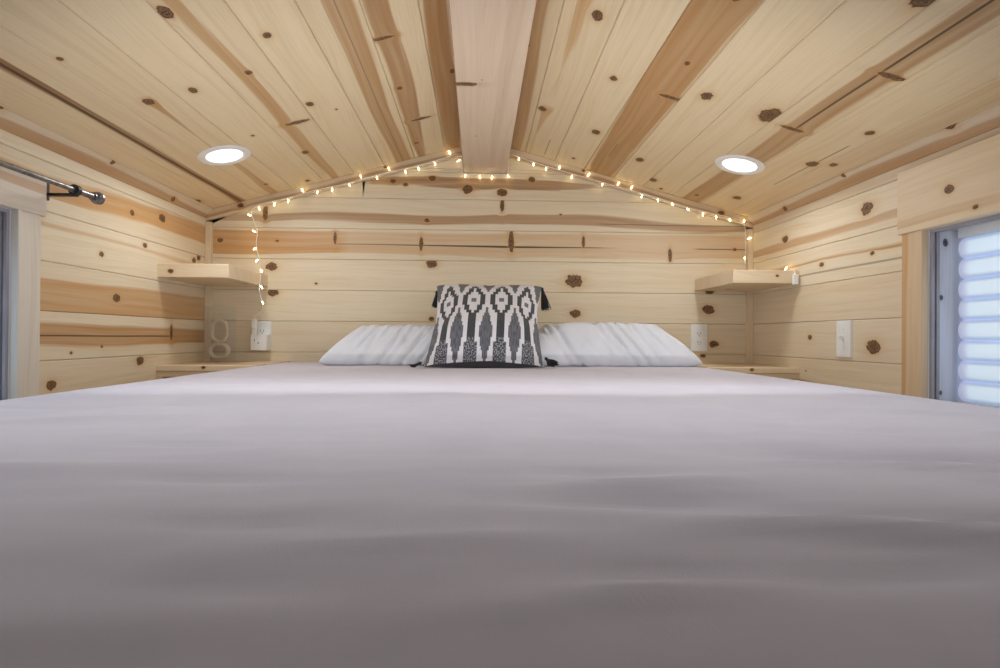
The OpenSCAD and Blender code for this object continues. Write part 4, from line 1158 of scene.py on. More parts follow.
# Pine by place: rows of a width stacked along one axis, from a start, with the grain along another
def timberMaterial(name, along, across, rowWidth, rowStart, colors):
    material, tree, shader = newMaterial(name)
    place = dict(zip("xyz", splitVector(objectPlace(tree))))
    wood = placeGroup(tree, timberGroup, {"Along": place[along], "Across": place[across] - rowStart,
                                          "Row Width": rowWidth, **colors})
    setInputs(shader, {"Base Color": wood["Color"], "Roughness": wood["Height"].scaled(0.25, 0.48)})
    addBump(shader, wood["Height"], 0.0005, 0.5)
    return material


def dress(material, *nodes):
    for node in nodes:
        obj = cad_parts[node]
        for slot in obj.material_slots:
            slot.material = material


timberLook = {
    "framing": woodColors((0.68, 0.57, 0.42, 1), (0.56, 0.42, 0.27, 1)),
    "siding": woodColors((0.57, 0.38, 0.215, 1), (0.43, 0.26, 0.13, 1), (0.36, 0.17, 0.07, 1),
                         (0.22, 0.11, 0.05, 1)),
    "trim": woodColors((0.70, 0.58, 0.43, 1), (0.58, 0.42, 0.27, 1)),
    # grain along, rows across, row width, start of the rows, colours and the nodes made of it
    "pieces": {
        "joistLumber": ("x", "y", 0.045, frontY, "framing", ["floor_joists"]),
        "rafterLumber": ("x", "y", 0.045, frontY, "framing", ["rafters"]),
        "sideStuds": ("z", "y", 0.09, frontY, "framing", ["left_wall", "right_wall"]),
        "endStuds": ("z", "x", 0.09, 0.0, "framing", ["end_wall"]),
        "roofSheathing": ("y", "x", 0.19, 0.0, "framing", ["roof_deck_left", "roof_deck_right"]),
        "sideSiding": ("y", "z", 0.14, 0.0, "siding", ["left_siding", "right_siding"]),
        "endSiding": ("x", "z", 0.14, 0.0, "siding", ["end_siding"]),
        "fasciaPine": ("y", "z", 0.30, 0.9, "siding", ["eave_fascias"]),
        "soffitPine": ("y", "x", 0.10, 0.0, "siding", ["eave_soffits"]),
        "bargePine": ("x", "y", 0.30, 1.2, "siding", ["barge_boards"]),
        "covePine": ("y", "z", 0.20, 0.9, "trim", ["eave_coves"]),
    },
}
for name, (along, across, rowWidth, rowStart, colors, nodes) in timberLook["pieces"].items():
    dress(timberMaterial(name, along, across, rowWidth, rowStart, timberLook[colors]), *nodes)
print("timber dressed")


# A slow patchy change, fine grit and rubbed spots, for paint, plastic and metal
def buildPatchGroup():
    tree, given, made = newGroup(
        "patchyFinish",
        {"Vector": ("Place",), "Float": ("Patch Scale", "Grit Scale"), "Color": ("Base", "Shade")},
        {"Color": ("Color",), "Float": ("Mask", "Height")})
    patches = noiseNode(given["Place"], given["Patch Scale"], 2.0)
    grit = noiseNode(given["Place"], given["Grit Scale"], 1.0)
    mask = smoothStep(patches, 0.35, 0.7)
    color = mixColor(grit.scaled(0.3, mask * 0.7), given["Base"], given["Shade"])
    setInputs(made, {"Color": color, "Mask": mask, "Height": grit})
    return tree


patchGroup = buildPatchGroup()


def patchMaterial(name, base, shade, roughness, patches, grit=300, bump=0.0002, metal=0.0):
    material, tree, shader = newMaterial(name, Metallic=metal)
    finish = placeGroup(tree, patchGroup, {"Place": objectPlace(tree), "Patch Scale": patches,
                                           "Grit Scale": grit, "Base": base, "Shade": shade})
    setInputs(shader, {"Base Color": finish["Color"], "Roughness": finish["Mask"].scaled(0.12, roughness)})
    addBump(shader, finish["Height"], bump, 0.4)
    return material


# Each finish: its two colours, roughness, how often it changes over a metre, its grit and its nodes
finishLook = {
    "roofMetal": {"base": (0.050, 0.056, 0.062, 1), "shade": (0.085, 0.092, 0.098, 1), "roughness": 0.38,
                  "patches": 3, "grit": 500, "bump": 0.0003, "metal": 0.35},
    "windowVinyl": {"base": (0.80, 0.80, 0.78, 1), "shade": (0.74, 0.74, 0.72, 1), "roughness": 0.32,
                    "patches": 6, "grit": 260},
    "stopGrey": {"base": (0.37, 0.35, 0.38, 1), "shade": (0.29, 0.275, 0.30, 1), "roughness": 0.5,
                 "patches": 10, "grit": 240},
    "rodSteel": {"base": (0.36, 0.36, 0.38, 1), "shade": (0.16, 0.16, 0.18, 1), "roughness": 0.30,
                 "patches": 60, "grit": 400, "bump": 0.0001, "metal": 1.0},
    "bracketSteel": {"base": (0.035, 0.035, 0.038, 1), "shade": (0.065, 0.065, 0.07, 1), "roughness": 0.42,
                     "patches": 40, "grit": 500, "metal": 0.6},
    "fittingWhite": {"base": (0.84, 0.84, 0.82, 1), "shade": (0.78, 0.78, 0.76, 1), "roughness": 0.3,
                     "patches": 20, "grit": 400, "bump": 0.0001},
    # painted shade: black for the dark depth of the outlet slots
    "slotPaintedShade": {"base": (0.02, 0.02, 0.02, 1), "shade": (0.05, 0.05, 0.05, 1), "roughness": 0.6,
                  "patches": 200},
}
finishes = {name: patchMaterial(name, **look) for name, look in finishLook.items()}
dress(finishes["roofMetal"], "roof_metal_left", "roof_metal_right", "roof_seams", "ridge_cap")
dress(finishes["windowVinyl"], "left_window_frame", "right_window_frame", "shade_rails")
dress(finishes["stopGrey"], "window_stops")
dress(finishes["rodSteel"], "curtain_rod")
dress(finishes["bracketSteel"], "rod_brackets")
dress(finishes["fittingWhite"], "downlight_trims", "outlets", "light_switch", "string_light_plugs")

glassLook = {
    # the blue of the glass colours is painted sky
    "paintedSkyTint": (0.74, 0.87, 0.99, 1), "smeared": (0.6956, 0.8178, 0.9306, 1), "ior": 1.45, "roughness": 0.02,
    "lens": (1.0, 0.97, 0.92, 1), "lensDots": (1.0, 0.99, 0.97, 1), "lensGlow": 1.6,
    "vase": (0.8, 0.78, 0.74, 1), "vaseSmears": (0.9, 0.9, 0.88, 1),
}


# Window glass with a blue tint that is painted sky; light that falls through it is let straight on
def windowGlass():
    look = glassLook
    material, tree, shader = newMaterial("windowGlass", Metallic=0.0, IOR=look["ior"])
    smear = noiseNode(objectPlace(tree), 14, 2)
    setInputs(shader, {"Transmission Weight": 1.0, "Roughness": smear.scaled(0.03, look["roughness"]),
                       "Base Color": mixColor(smear, look["paintedSkyTint"], look["smeared"])})
    shadow, diffuse = lightPath(tree, "Is Shadow Ray", "Is Diffuse Ray")
    clear = addNode(tree, "ShaderNodeBsdfTransparent", Color=look["paintedSkyTint"])
    mix = tree.nodes.new("ShaderNodeMixShader")
    glass = Value(shader.outputs[0])
    setInputs(mix, {0: shadow.math("MAXIMUM", diffuse), 1: glass, 2: Value(clear.outputs[0])})
    link(Value(mix.outputs[0]), tree.nodes["Material Output"].inputs["Surface"])
    return material


def litLens():
    look = glassLook
    lens, tree, shader = newMaterial("litLens", Roughness=0.4)
    shade = mixColor(noiseNode(objectPlace(tree), 260, 1), look["lens"], look["lensDots"])
    setInputs(shader, {"Base Color": shade, "Emission Color": shade, "Emission Strength": look["lensGlow"]})
    return lens


# Thin and clear, and denser where it is seen at a slant
def vaseGlass():
    look = glassLook
    vase, tree, shader = newMaterial("vaseGlass", Roughness=0.04)
    smear = noiseNode(objectPlace(tree), 14, 2)
    facing = Value(addNode(tree, "ShaderNodeLayerWeight", Blend=0.35).outputs["Facing"])
    setInputs(shader, {"Base Color": mixColor(smear, look["vase"], look["vaseSmears"]),
                       "Alpha": smear.scaled(0.015, facing * 0.1)})
    return vase


dress(litLens(), "downlight_lenses")
dress(windowGlass(), "window_glass")
dress(vaseGlass(), "glass_vase")

# In metres: from the outer edge of a cover plate to its middle, and how far things lie from that middle
plateLook = {
    "half": 0.035, "socket": 0.018, "pinApart": 0.012, "pin": (0.0011, 0.0042), "earthDrop": 0.009,
    "earth": 0.0020, "proud": 0.0002, "slotDeep": 0.0003, "switchScrew": 0.030, "switchThick": 0.006,
    "screwHead": 0.0034, "adapterDeep": 0.0422,
    "adapterSlots": [(-0.014, -0.020, 0.0011, 0.0045), (0.002, -0.031, 0.0022, 0.0022)],
}


# Painted shade for the slots and earth holes of the outlets and of the adapter, which covers an upper socket:
# thin black plates on the face stand for their dark depth
def buildSlots():
    look = plateLook
    bm = bmesh.new()
    low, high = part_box("outlets")
    middleX, face, middleZ = high.x - look["half"], low.y + look["proud"], (low.z + high.z) / 2
    sockets = ((-middleX, look["socket"]), (middleX, -look["socket"]), (middleX, look["socket"]))
    slots = [(x + dx, face, middleZ + dz, *look["pin"]) for x, dz in sockets
             for dx in (-look["pinApart"] / 2, look["pinApart"] / 2)]
    slots += [(x, face, middleZ + dz - look["earthDrop"], look["earth"], look["earth"]) for x, dz in sockets]
    slots += [(-middleX + dx, low.y - look["adapterDeep"], middleZ + dz, wide, tall)
              for dx, dz, wide, tall in look["adapterSlots"]]
    for x, y, z, wide, tall in slots:
        shape = Matrix.Translation((x, y, z)) @ Matrix.Diagonal((wide * 2, look["slotDeep"], tall * 2, 1))
        bmesh.ops.create_cube(bm, size=1, matrix=shape)
    standFor(addMesh("socket_slots", bm, finishes["slotPaintedShade"]), "fitting_white")


# Round screw heads in the middle of each outlet and above and below the switch; their slots are not drawn
def buildScrews():
    look = plateLook
    bm = bmesh.new()
    outletLow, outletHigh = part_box("outlets")
    switchLow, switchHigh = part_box("light_switch")
    plateMiddle = (outletLow.z + outletHigh.z) / 2
    x = outletHigh.x - look["half"]
    heads = [(Vector((s * x, outletLow.y + look["proud"], plateMiddle)), -alongY) for s in (-1, 1)]
    switchX = wallX - look["switchThick"] + look["proud"]
    switchY = (switchLow.y + switchHigh.y) / 2
    heads += [(Vector((switchX, switchY, plateMiddle + s * look["switchScrew"])), -sideX) for s in (-1, 1)]
    head = look["screwHead"]
    for place, out in heads:
        addRod(bm, place, place + out * 0.0016, [(0, head), (0.6, head), (1, head - 0.0008)], 20)
    screws = addMesh("plate_screws", bm, finishes["fittingWhite"])
    smoothShade(screws, 40)
    standFor(screws, "fitting_white")


buildScrews()
buildSlots()
print("fittings dressed")


# Cloth: threads by flat places on the cut cloth, with slubs and small wrinkles
def buildWeaveGroup():
    tree, given, made = newGroup(
        "clothWeave",
        {"Vector": ("Flat",), "Float": ("Threads", "Wrinkles"), "Color": ("Base", "Shade")},
        {"Color": ("Color",), "Float": ("Height", "Mask")})
    u, v, layer = splitVector(given["Flat"])
    threadSpace = joinVector(u * given["Threads"], v * (given["Threads"] * 0.3), layer)
    weave = noiseNode(threadSpace, 1.0, 1)
    slubs = noiseNode(joinVector(u * 40.0, v * 420.0, layer), 1.0, 1)
    folds = noiseNode(given["Flat"], given["Wrinkles"], 2.0, 0.55, 0.6)
    mask = smoothStep(folds, 0.3, 0.72)
    color = mixColor(slubs.scaled(0.45, mask * 0.4, clamp=True), given["Base"], given["Shade"])
    setInputs(made, {"Color": color, "Height": weave.scaled(0.1, folds), "Mask": mask})
    return tree


weaveGroup = buildWeaveGroup()


def clothMaterial(name, base, shade, threads, wrinkles, bump):
    material, tree, shader = newMaterial(name)
    cloth = placeGroup(tree, weaveGroup, {"Flat": attributeVector(tree, "flat"), "Threads": threads,
                                          "Wrinkles": wrinkles, "Base": base, "Shade": shade})
    setInputs(shader, {"Base Color": cloth["Color"], "Roughness": cloth["Mask"].scaled(0.1, 0.8),
                       "Sheen Weight": 0.1, "Sheen Roughness": 0.5})
    addBump(shader, cloth["Height"], bump, 0.6)
    return material


# Gives a cloth its thickness: inwards for -1, and to both sides for 0
def thicken(obj, thickness, offset):
    shell = obj.modifiers.new("Solidify", "SOLIDIFY")
    shell.thickness = thickness
    shell.offset = offset


# The place of each corner on the cloth laid flat
def storeFlat(mesh, values):
    layer = mesh.attributes.new("flat", "FLOAT_VECTOR", "POINT")
    layer.data.foreach_set("vector", [c for value in values for c in value])


# Quilt: a cloth over the mattress with folds, a rounded rim and a skirt. Each fold is a smooth hollow or
# ridge: place across, distance from the end wall, half lengths along and across it, its turn in degrees
# and its height.
quiltLook = {
    "rim": 0.024, "corner": 0.087, "thick": 0.011, "acrossCells": 136, "alongCells": 196,
    "skirtRings": 9, "ripple": 0.008, "rippleWave": 26.0,
    "base": (0.545, 0.520, 0.590, 1), "shade": (0.480, 0.458, 0.530, 1),
    "folds": [
        (0.071, 2.082, 0.050, 0.010, 4, -0.0045), (0.151, 2.084, 0.045, 0.010, -6, -0.0045),
        (0.116, 2.139, 0.050, 0.008, 3, -0.003), (0.040, 2.100, 0.075, 0.009, -10, 0.004),
        (-0.120, 2.090, 0.060, 0.011, 8, -0.003), (-0.070, 2.045, 0.080, 0.012, -4, 0.0035),
        (-0.150, 2.010, 0.080, 0.012, 6, -0.003), (0.150, 2.030, 0.080, 0.013, 5, 0.0035),
        (-0.285, 1.776, 0.075, 0.012, 3, -0.005), (-0.246, 1.700, 0.080, 0.012, -4, -0.004),
        (-0.402, 1.471, 0.090, 0.014, 5, -0.005), (-0.201, 1.909, 0.070, 0.011, 2, -0.0045),
        (0.088, 1.884, 0.080, 0.011, -5, -0.005), (0.083, 1.924, 0.090, 0.011, -8, 0.004),
        (0.093, 1.960, 0.080, 0.011, -6, -0.0045), (0.334, 1.837, 0.110, 0.013, 8, -0.006),
        (0.358, 1.877, 0.100, 0.011, 12, 0.005), (0.430, 1.700, 0.120, 0.016, 14, -0.006),
        (0.540, 1.560, 0.130, 0.018, 18, 0.006), (-0.500, 1.620, 0.120, 0.018, -12, 0.005),
        (-0.560, 1.480, 0.130, 0.020, -14, -0.005), (0.240, 1.420, 0.140, 0.018, 4, -0.004),
        (-0.080, 1.350, 0.150, 0.020, -3, 0.0045), (0.460, 1.150, 0.150, 0.022, 10, -0.005),
        (-0.420, 1.050, 0.160, 0.022, -6, -0.005), (0.100, 0.980, 0.160, 0.022, 3, -0.004),
        (0.020, 0.720, 0.130, 0.030, 2, -0.004), (-0.330, 0.640, 0.120, 0.026, -8, -0.004),
        (0.430, 0.650, 0.130, 0.026, 9, -0.004), (0.300, 2.000, 0.200, 0.020, 9, -0.010),
        (0.330, 2.060, 0.220, 0.018, 12, 0.009), (0.120, 2.175, 0.120, 0.016, -8, -0.007),
        (-0.260, 2.130, 0.150, 0.020, -6, 0.007), (0.520, 1.880, 0.160, 0.022, 16, -0.009),
        (-0.480, 1.900, 0.170, 0.024, -10, 0.007), (0.620, 1.760, 0.140, 0.018, 20, 0.008),
    ],
}


def quiltHeight(x, e):
    height = 0.0035 * noise.noise(Vector((x * 2.3, e * 3.1, 1.0)))
    height += 0.0016 * noise.noise(Vector((x * 7, e * 11, 4.0)))
    height += 0.0012 * noise.noise(Vector((x * 14 + e * 5, e * 34, 9.0)))
    for foldX, foldE, long, wide, turn, lift in quiltLook["folds"]:
        dx, de = x - foldX, e - foldE
        if abs(dx) < 3 * long and abs(de) < 3 * long:
            c, s = math.cos(math.radians(turn)), math.sin(math.radians(turn))
            a, b = (dx * c + de * s) / long, (de * c - dx * s) / wide
            if abs(a) < 2.5 and abs(b) < 4:
                height += lift * math.exp(-a * a - b * b) * (1 + 0.8 * b * math.exp(-b * b))
    return height


# A place on a square's corner moved onto a quarter circle
def roundCorner(x, y, halfX, halfY, radius):
    dx, dy = (abs(x) - halfX + radius) / radius, (abs(y) - halfY + radius) / radius
    if dx <= 0 or dy <= 0:
        return x, y
    newX = halfX - radius + dx * math.sqrt(1 - dy * dy / 2) * radius
    newY = halfY - radius + dy * math.sqrt(1 - dx * dx / 2) * radius
    return math.copysign(newX, x), math.copysign(newY, y)


def buildQuilt():
    look = quiltLook
    low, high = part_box("quilt")
    rim = look["rim"]
    halfX, halfY = high.x - rim, (high.y - low.y) / 2 - rim
    middleY = (low.y + high.y) / 2
    radius = look["corner"] - rim
    columns, rows = look["acrossCells"], look["alongCells"]
    bm = bmesh.new()
    flat = []
    grid = []
    for j in range(rows + 1):
        line = []
        for i in range(columns + 1):
            x, y = (2 * i / columns - 1) * halfX, (2 * j / rows - 1) * halfY
            x, y = roundCorner(x, y, halfX, halfY, radius)
            y += middleY
            edge = min(1, min(halfX - abs(x), halfY - abs(y - middleY)) / 0.06)
            line.append(bm.verts.new((x, y, quiltZ - 0.0015 + quiltHeight(x, endY - y) * max(edge, 0.0))))
            flat.append((x, y, 0.0))
        grid.append(line)
    fillGrid(bm, grid)
    border = grid[0][:-1] + [line[-1] for line in grid[:-1]]
    border += grid[-1][:0:-1] + [line[0] for line in grid[:0:-1]]
    count = len(border)
    outward = []
    for k in range(count):
        way = border[(k + 1) % count].co - border[k - 1].co
        outward.append(Vector((way.y, -way.x, 0)).normalized())
    along = [0.0]
    for k in range(1, count):
        along.append(along[-1] + (border[k].co - border[k - 1].co).length)
    steps = [(math.sin(a), 1 - math.cos(a)) for a in (math.pi / 2 * k / 5 for k in range(1, 6))]
    rings = [(rim * s, rim * d, 0.0) for s, d in steps]
    straight = high.z - low.z - rim
    rings += [(rim, rim + straight * (k / look["skirtRings"]), k / look["skirtRings"])
              for k in range(1, look["skirtRings"] + 1)]
    last = border
    starts = [vert.co.copy() for vert in border]
    for away, drop, share in rings:
        ring = []
        for k in range(count):
            wave = math.sin(along[k] * look["rippleWave"]) + 0.7 * math.sin(along[k] * 11.3 + 2)
            ripple = -look["ripple"] * share * (0.5 - 0.3 * wave)
            hem = 0.004 * share * math.sin(along[k] * 17.0)
            place = starts[k] + outward[k] * (away + ripple)
            place.z = starts[k].z - drop + hem + (0.0015 * share if share else 0.0)
            ring.append(bm.verts.new(place))
            flat.append((starts[k].x + outward[k].x * drop, starts[k].y + outward[k].y * drop, 1.0))
        for k in range(count):
            after = (k + 1) % count
            bm.faces.new((last[k], ring[k], ring[after], last[after]))
        last = ring
    cotton = clothMaterial("quiltCotton", look["base"], look["shade"], 900, 9, 0.0022)
    quilt = addMesh("quilt_cloth", bm, cotton)
    storeFlat(quilt.data, flat)
    if quilt.data.polygons[0].normal.z < 0:
        quilt.data.flip_normals()
    smoothShade(quilt)
    thicken(quilt, look["thick"], -1)
    standFor(quilt, "quilt_fabric", "quilt")


# Mattress: a rounded block with a piped seam round its top and bottom edges
mattressLook = {
    "radius": 0.070, "ringPoints": 120, "base": (0.80, 0.79, 0.77, 1), "shade": (0.72, 0.71, 0.69, 1),
    # inset and height
    "rim": [(0.030, 0.0), (0.012, 0.002), (0.004, 0.007), (0.0, 0.012), (0.003, 0.018), (0.006, 0.022),
            (0.003, 0.05)],
}


def roundedOutline(halfX, halfY, radius, count):
    points = []
    for k in range(count):
        angle = 2 * math.pi * (k + 0.5) / count
        c, s = math.cos(angle), math.sin(angle)
        reach = 1 / max(abs(c) / halfX, abs(s) / halfY)
        points.append(roundCorner(c * reach, s * reach, halfX, halfY, radius))
    return points


def buildMattress():
    look = mattressLook
    low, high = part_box("mattress")
    tall = high.z - low.z
    middleY = (low.y + high.y) / 2
    profile = look["rim"] + [(0.001, tall / 2)] + [(inset, tall - z) for inset, z in reversed(look["rim"])]
    bm = bmesh.new()
    flat = []
    rings = []
    for inset, z in profile:
        halfX, halfY = high.x - inset, (high.y - low.y) / 2 - inset
        outline = roundedOutline(halfX, halfY, look["radius"], look["ringPoints"])
        rings.append([bm.verts.new((x, middleY + y, low.z + z)) for x, y in outline])
        flat += [(x * 1.3, y * 1.3, z) for x, y in outline]
    for first, second in zip(rings, rings[1:]):
        bridge(bm, first, second)
    for ring, z in ((rings[0], 0.0), (rings[-1], tall)):
        centre = bm.verts.new((0, middleY, low.z + z))
        flat.append((0, 0, z))
        for k in range(len(ring)):
            bm.faces.new((ring[k], ring[(k + 1) % len(ring)], centre))
    ticking = clothMaterial("mattressTicking", look["base"], look["shade"], 600, 14, 0.0015)
    mattress = addMesh("mattress_cover", bm, ticking)
    storeFlat(mattress.data, flat)
    smoothShade(mattress, 60)
    standFor(mattress, "mattress_fabric", "mattress")


# A pad sewn from two equal cloths: cut flat, a little larger than it ends up, and blown up by cloth pressure
padLook = {"frames": 20, "pressure": 4.0, "quality": 5}


def sewnPad(name, wide, deep, high, columns, rows):
    bm = bmesh.new()
    flat = []
    layers = []
    for side in (1, -1):
        grid = []
        for j in range(rows + 1):
            line = []
            for i in range(columns + 1):
                u, v = 2 * i / columns - 1, 2 * j / rows - 1
                onEdge = i in (0, columns) or j in (0, rows)
                if side < 0 and onEdge:
                    line.append(layers[0][j][i])
                    continue
                dome = ((1 - u * u) * (1 - v * v)) ** 0.45
                x = u * wide / 2 * (1 - 0.06 * (1 - v * v) * u * u)
                y = v * deep / 2 * (1 - 0.06 * (1 - u * u) * v * v)
                line.append(bm.verts.new((x, y, side * dome * high / 2)))
                flat.append((u * wide / 2, v * deep / 2, side * 0.5))
            grid.append(line)
        layers.append(grid)
    for grid, flipped in zip(layers, (False, True)):
        fillGrid(bm, grid, flipped)
    mesh = bpy.data.meshes.new(name)
    bm.to_mesh(mesh)
    bm.free()
    storeFlat(mesh, flat)
    return addObject(name, mesh)


def inflate(obj, cap, stiffness, pull):
    look = padLook
    start = [vert.co.copy() for vert in obj.data.vertices]
    cloth = obj.modifiers.new("Cloth", "CLOTH")
    settings = cloth.settings
    settings.quality = look["quality"]
    settings.mass = 0.25
    settings.tension_stiffness = stiffness
    settings.compression_stiffness = stiffness
    settings.shear_stiffness = stiffness / 3
    settings.bending_stiffness = 0.15
    settings.use_pressure = True
    settings.uniform_pressure_force = look["pressure"]
    settings.effector_weights.gravity = 0
    cloth.point_cache.frame_start = 1
    cloth.point_cache.frame_end = look["frames"]
    scene = bpy.context.scene
    for frameNumber in range(1, look["frames"] + 1):
        scene.frame_set(frameNumber)
    settled = obj.evaluated_get(bpy.context.evaluated_depsgraph_get()).to_mesh()
    moved = [vert.co.copy() for vert in settled.vertices]
    obj.modifiers.remove(cloth)
    scene.frame_set(1)
    for vert, before, after in zip(obj.data.vertices, start, moved):
        way = after - before
        way.x, way.y = way.x * pull, way.y * pull
        if way.length > cap:
            way *= cap / way.length
        vert.co = before + way


def fitPad(obj, wide, deep, above, below):
    lows = [min(vert.co[axis] for vert in obj.data.vertices) for axis in range(3)]
    highs = [max(vert.co[axis] for vert in obj.data.vertices) for axis in range(3)]
    for vert in obj.data.vertices:
        vert.co.x = (vert.co.x - (lows[0] + highs[0]) / 2) * wide / (highs[0] - lows[0])
        vert.co.y = (vert.co.y - (lows[1] + highs[1]) / 2) * deep / (highs[1] - lows[1])
        vert.co.z *= above / highs[2] if vert.co.z > 0 else below / -lows[2]


def subdivide(obj):
    modifier = obj.modifiers.new("Subdivision", "SUBSURF")
    modifier.levels = 1
    modifier.render_levels = 1


# Subdivides the mesh itself, so that what moves its corners after this can be finer
def makeFiner(obj):
    subdivide(obj)
    finer = bpy.data.meshes.new_from_object(obj.evaluated_get(bpy.context.evaluated_depsgraph_get()))
    obj.modifiers.clear()
    obj.data = finer


# Pillows lie low and wide on the quilt, creased where the cushion presses on them
pillowLook = {
    "columns": 72, "rows": 40, "start": 0.45, "seam": 0.07, "cap": 0.075, "fuller": 0.8,
    "base": (0.68, 0.69, 0.73, 1), "shade": (0.60, 0.62, 0.68, 1),
}


# Narrow valleys that fan out over the front from where the cushion leans
def creaseHeight(x, y, z, seed, side):
    ridge = noise.noise(Vector(((x - side * z * 0.7) * 22, y * 4, seed)))
    fine = noise.noise(Vector(((x - side * z * 0.9) * 46, y * 9, seed + 5)))
    slow = noise.noise(Vector((x * 9, y * 7 + z * 9, seed + 9)))
    return 0.004 - 0.013 * math.exp(-(ridge / 0.13) ** 2) + 0.003 * fine + 0.004 * slow


def buildPillow(name, node, material, seed, pressedSide):
    look = pillowLook
    low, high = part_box(node)
    size = high - low
    wide, deep, start = size.x * 1.06, size.y * 1.06, size.z * look["start"]
    pillow = sewnPad(name, wide, deep, start, look["columns"], look["rows"])
    inflate(pillow, look["cap"], 14, 0.4)
    fitPad(pillow, size.x, size.y, size.z * (1 - look["seam"]), size.z * 0.42)
    bottom, top = -look["seam"] * size.z, size.z * (1 - look["seam"])
    centre = (low + high) / 2
    makeFiner(pillow)
    normals = [vert.normal.copy() for vert in pillow.data.vertices]
    for vert, normal in zip(pillow.data.vertices, normals):
        x, y, z = vert.co
        if z > 0:
            z = top * (z / top) ** look["fuller"]
        fromSeam = max(0.0, 1 - abs(x) / (size.x / 2)) * max(0.0, 1 - abs(y) / (size.y / 2))
        toFront = min(1.0, max(0.15, 0.5 - 2.4 * y / size.y))
        toCushion = min(1.0, max(0.3, 0.75 + 0.8 * pressedSide * x / size.x))
        crease = creaseHeight(x, y, z, seed, pressedSide) * min(1, fromSeam * 7) * toFront * toCushion
        x, y, z = Vector((x, y, z)) + normal * crease
        vert.co = Vector((x + centre.x, y + centre.y, min(max(z, bottom), top) - bottom + low.z))
    pillow.data.materials.append(material)
    smoothShade(pillow)
    standFor(pillow, "pillow_fabric", node)


# Cushion: stepped diamonds in charcoal and white, with a black tassel at each corner
cushionLook = {
    "side": 0.416, "thick": 0.120, "tilt": 46, "columns": 50, "rows": 50, "start": 0.45, "cap": 0.070,
    "pull": 0.2, "taper": 0.05, "lean": 0.012, "arch": 0.040, "rise": 0.020,
    # the pattern: its columns and rows in metres, its steps, and the reach of a diamond from its middle
    "pitch": 0.1036, "repeat": 0.288, "rowAt": 0.053, "stepX": 0.00942, "stepY": 0.0138,
    "whiteReach": 0.58, "darkReach": 0.92, "stem": 0.13, "lowerFrom": -0.104, "edgeAt": -0.189,
    "white": (0.80, 0.78, 0.81, 1), "charcoal": (0.040, 0.041, 0.046, 1), "grey": (0.155, 0.155, 0.175, 1),
    "speckle": (0.34, 0.34, 0.37, 1), "black": (0.014, 0.014, 0.016, 1),
    # each: its corner, a lift, the way it hangs, and factors for its length and its width
    "tassels": [
        (-1, -1, 0.014, (-0.30, -0.25, -0.25), 0.55, 0.8), (1, -1, 0.030, (0.34, -0.35, -0.35), 0.60, 1.5),
        (-1, 1, -0.020, (-0.10, 0.0, -1), 0.80, 0.8), (1, 1, -0.004, (0.20, -0.1, -1), 1.20, 1.1)],
    "tassel": {"long": 0.062, "strands": 90, "thick": 0.0012, "neck": 0.006, "flare": 0.016},
}


def stepped(value, step):
    return ((value / step).math("FLOOR") + 0.5) * step


def cushionMaterial():
    look = cushionLook
    material, tree, shader = newMaterial("cushionWeave", Roughness=0.85)
    x, y, layer = splitVector(attributeVector(tree, "flat"))
    steppedX, steppedY = stepped(x, look["stepX"]), stepped(y, look["stepY"])
    columns = steppedX / look["pitch"]
    fromColumn = abs(columns.math("FRACT") - 0.5)
    rows = (steppedY - look["rowAt"]) / look["repeat"]
    fromRow = abs((rows + 0.5).math("FRACT") - 0.5)
    reach = fromColumn * 2.0 + fromRow * 2.3
    fineColumns = stepped(x, look["stepX"] / 2) / look["pitch"]
    fineColumn = abs(fineColumns.math("FRACT") - 0.5)
    greyReach = fineColumn.scaled(-4.0, 2.0) + fromRow.scaled(-2.5, 1.25)
    dots = noiseNode(joinVector(x * 300.0, y * 170.0, 0.0), 1.0, 0)
    speckle = smoothStep(dots, 0.5, 0.6)
    streaks = smoothStep(noiseNode(joinVector(x * 330.0, y * 45.0, 3.0), 1.0, 0), 0.42, 0.6)

    def within(value, limit):
        return value.math("LESS_THAN", limit)

    below = (look["lowerFrom"] - steppedY).math("MAXIMUM", 0.0)
    stemHalf = (below * 2.7).math("MINIMUM", 0.12) + look["stem"]
    stem = within(fromColumn, stemHalf) * within(rows, -0.2)
    square = within(fineColumn, 0.08) * within(abs(y - look["rowAt"]), 0.01)
    greyField = mixColor(streaks * 0.6, look["grey"], look["charcoal"])
    lowerDark = mixColor(speckle * within(steppedY, look["lowerFrom"]), look["charcoal"], look["speckle"])
    color = mixColor(within(greyReach, 1.0), look["white"], greyField)
    upper = rows.math("GREATER_THAN", -0.5)
    color = mixColor(within(reach, look["darkReach"]) * upper, color, look["charcoal"])
    color = mixColor(stem, color, lowerDark)
    color = mixColor(within(reach, look["whiteReach"]) * upper, color, look["white"])
    color = mixColor(square * upper, color, look["grey"])
    color = mixColor(within(y, look["edgeAt"]), color, look["black"])
    threads = noiseNode(joinVector(x * 900.0, y * 260.0, layer), 1.0, 1)
    color = mixColor(threads * 0.35, color, (0.1, 0.1, 0.11, 1))
    setInputs(shader, {"Base Color": color, "Sheen Weight": 0.1})
    ribs = (y * (2 * math.pi / look["stepY"] * 3)).math("SINE")
    addBump(shader, ribs.scaled(0.4, threads), 0.0012, 0.6)
    return material


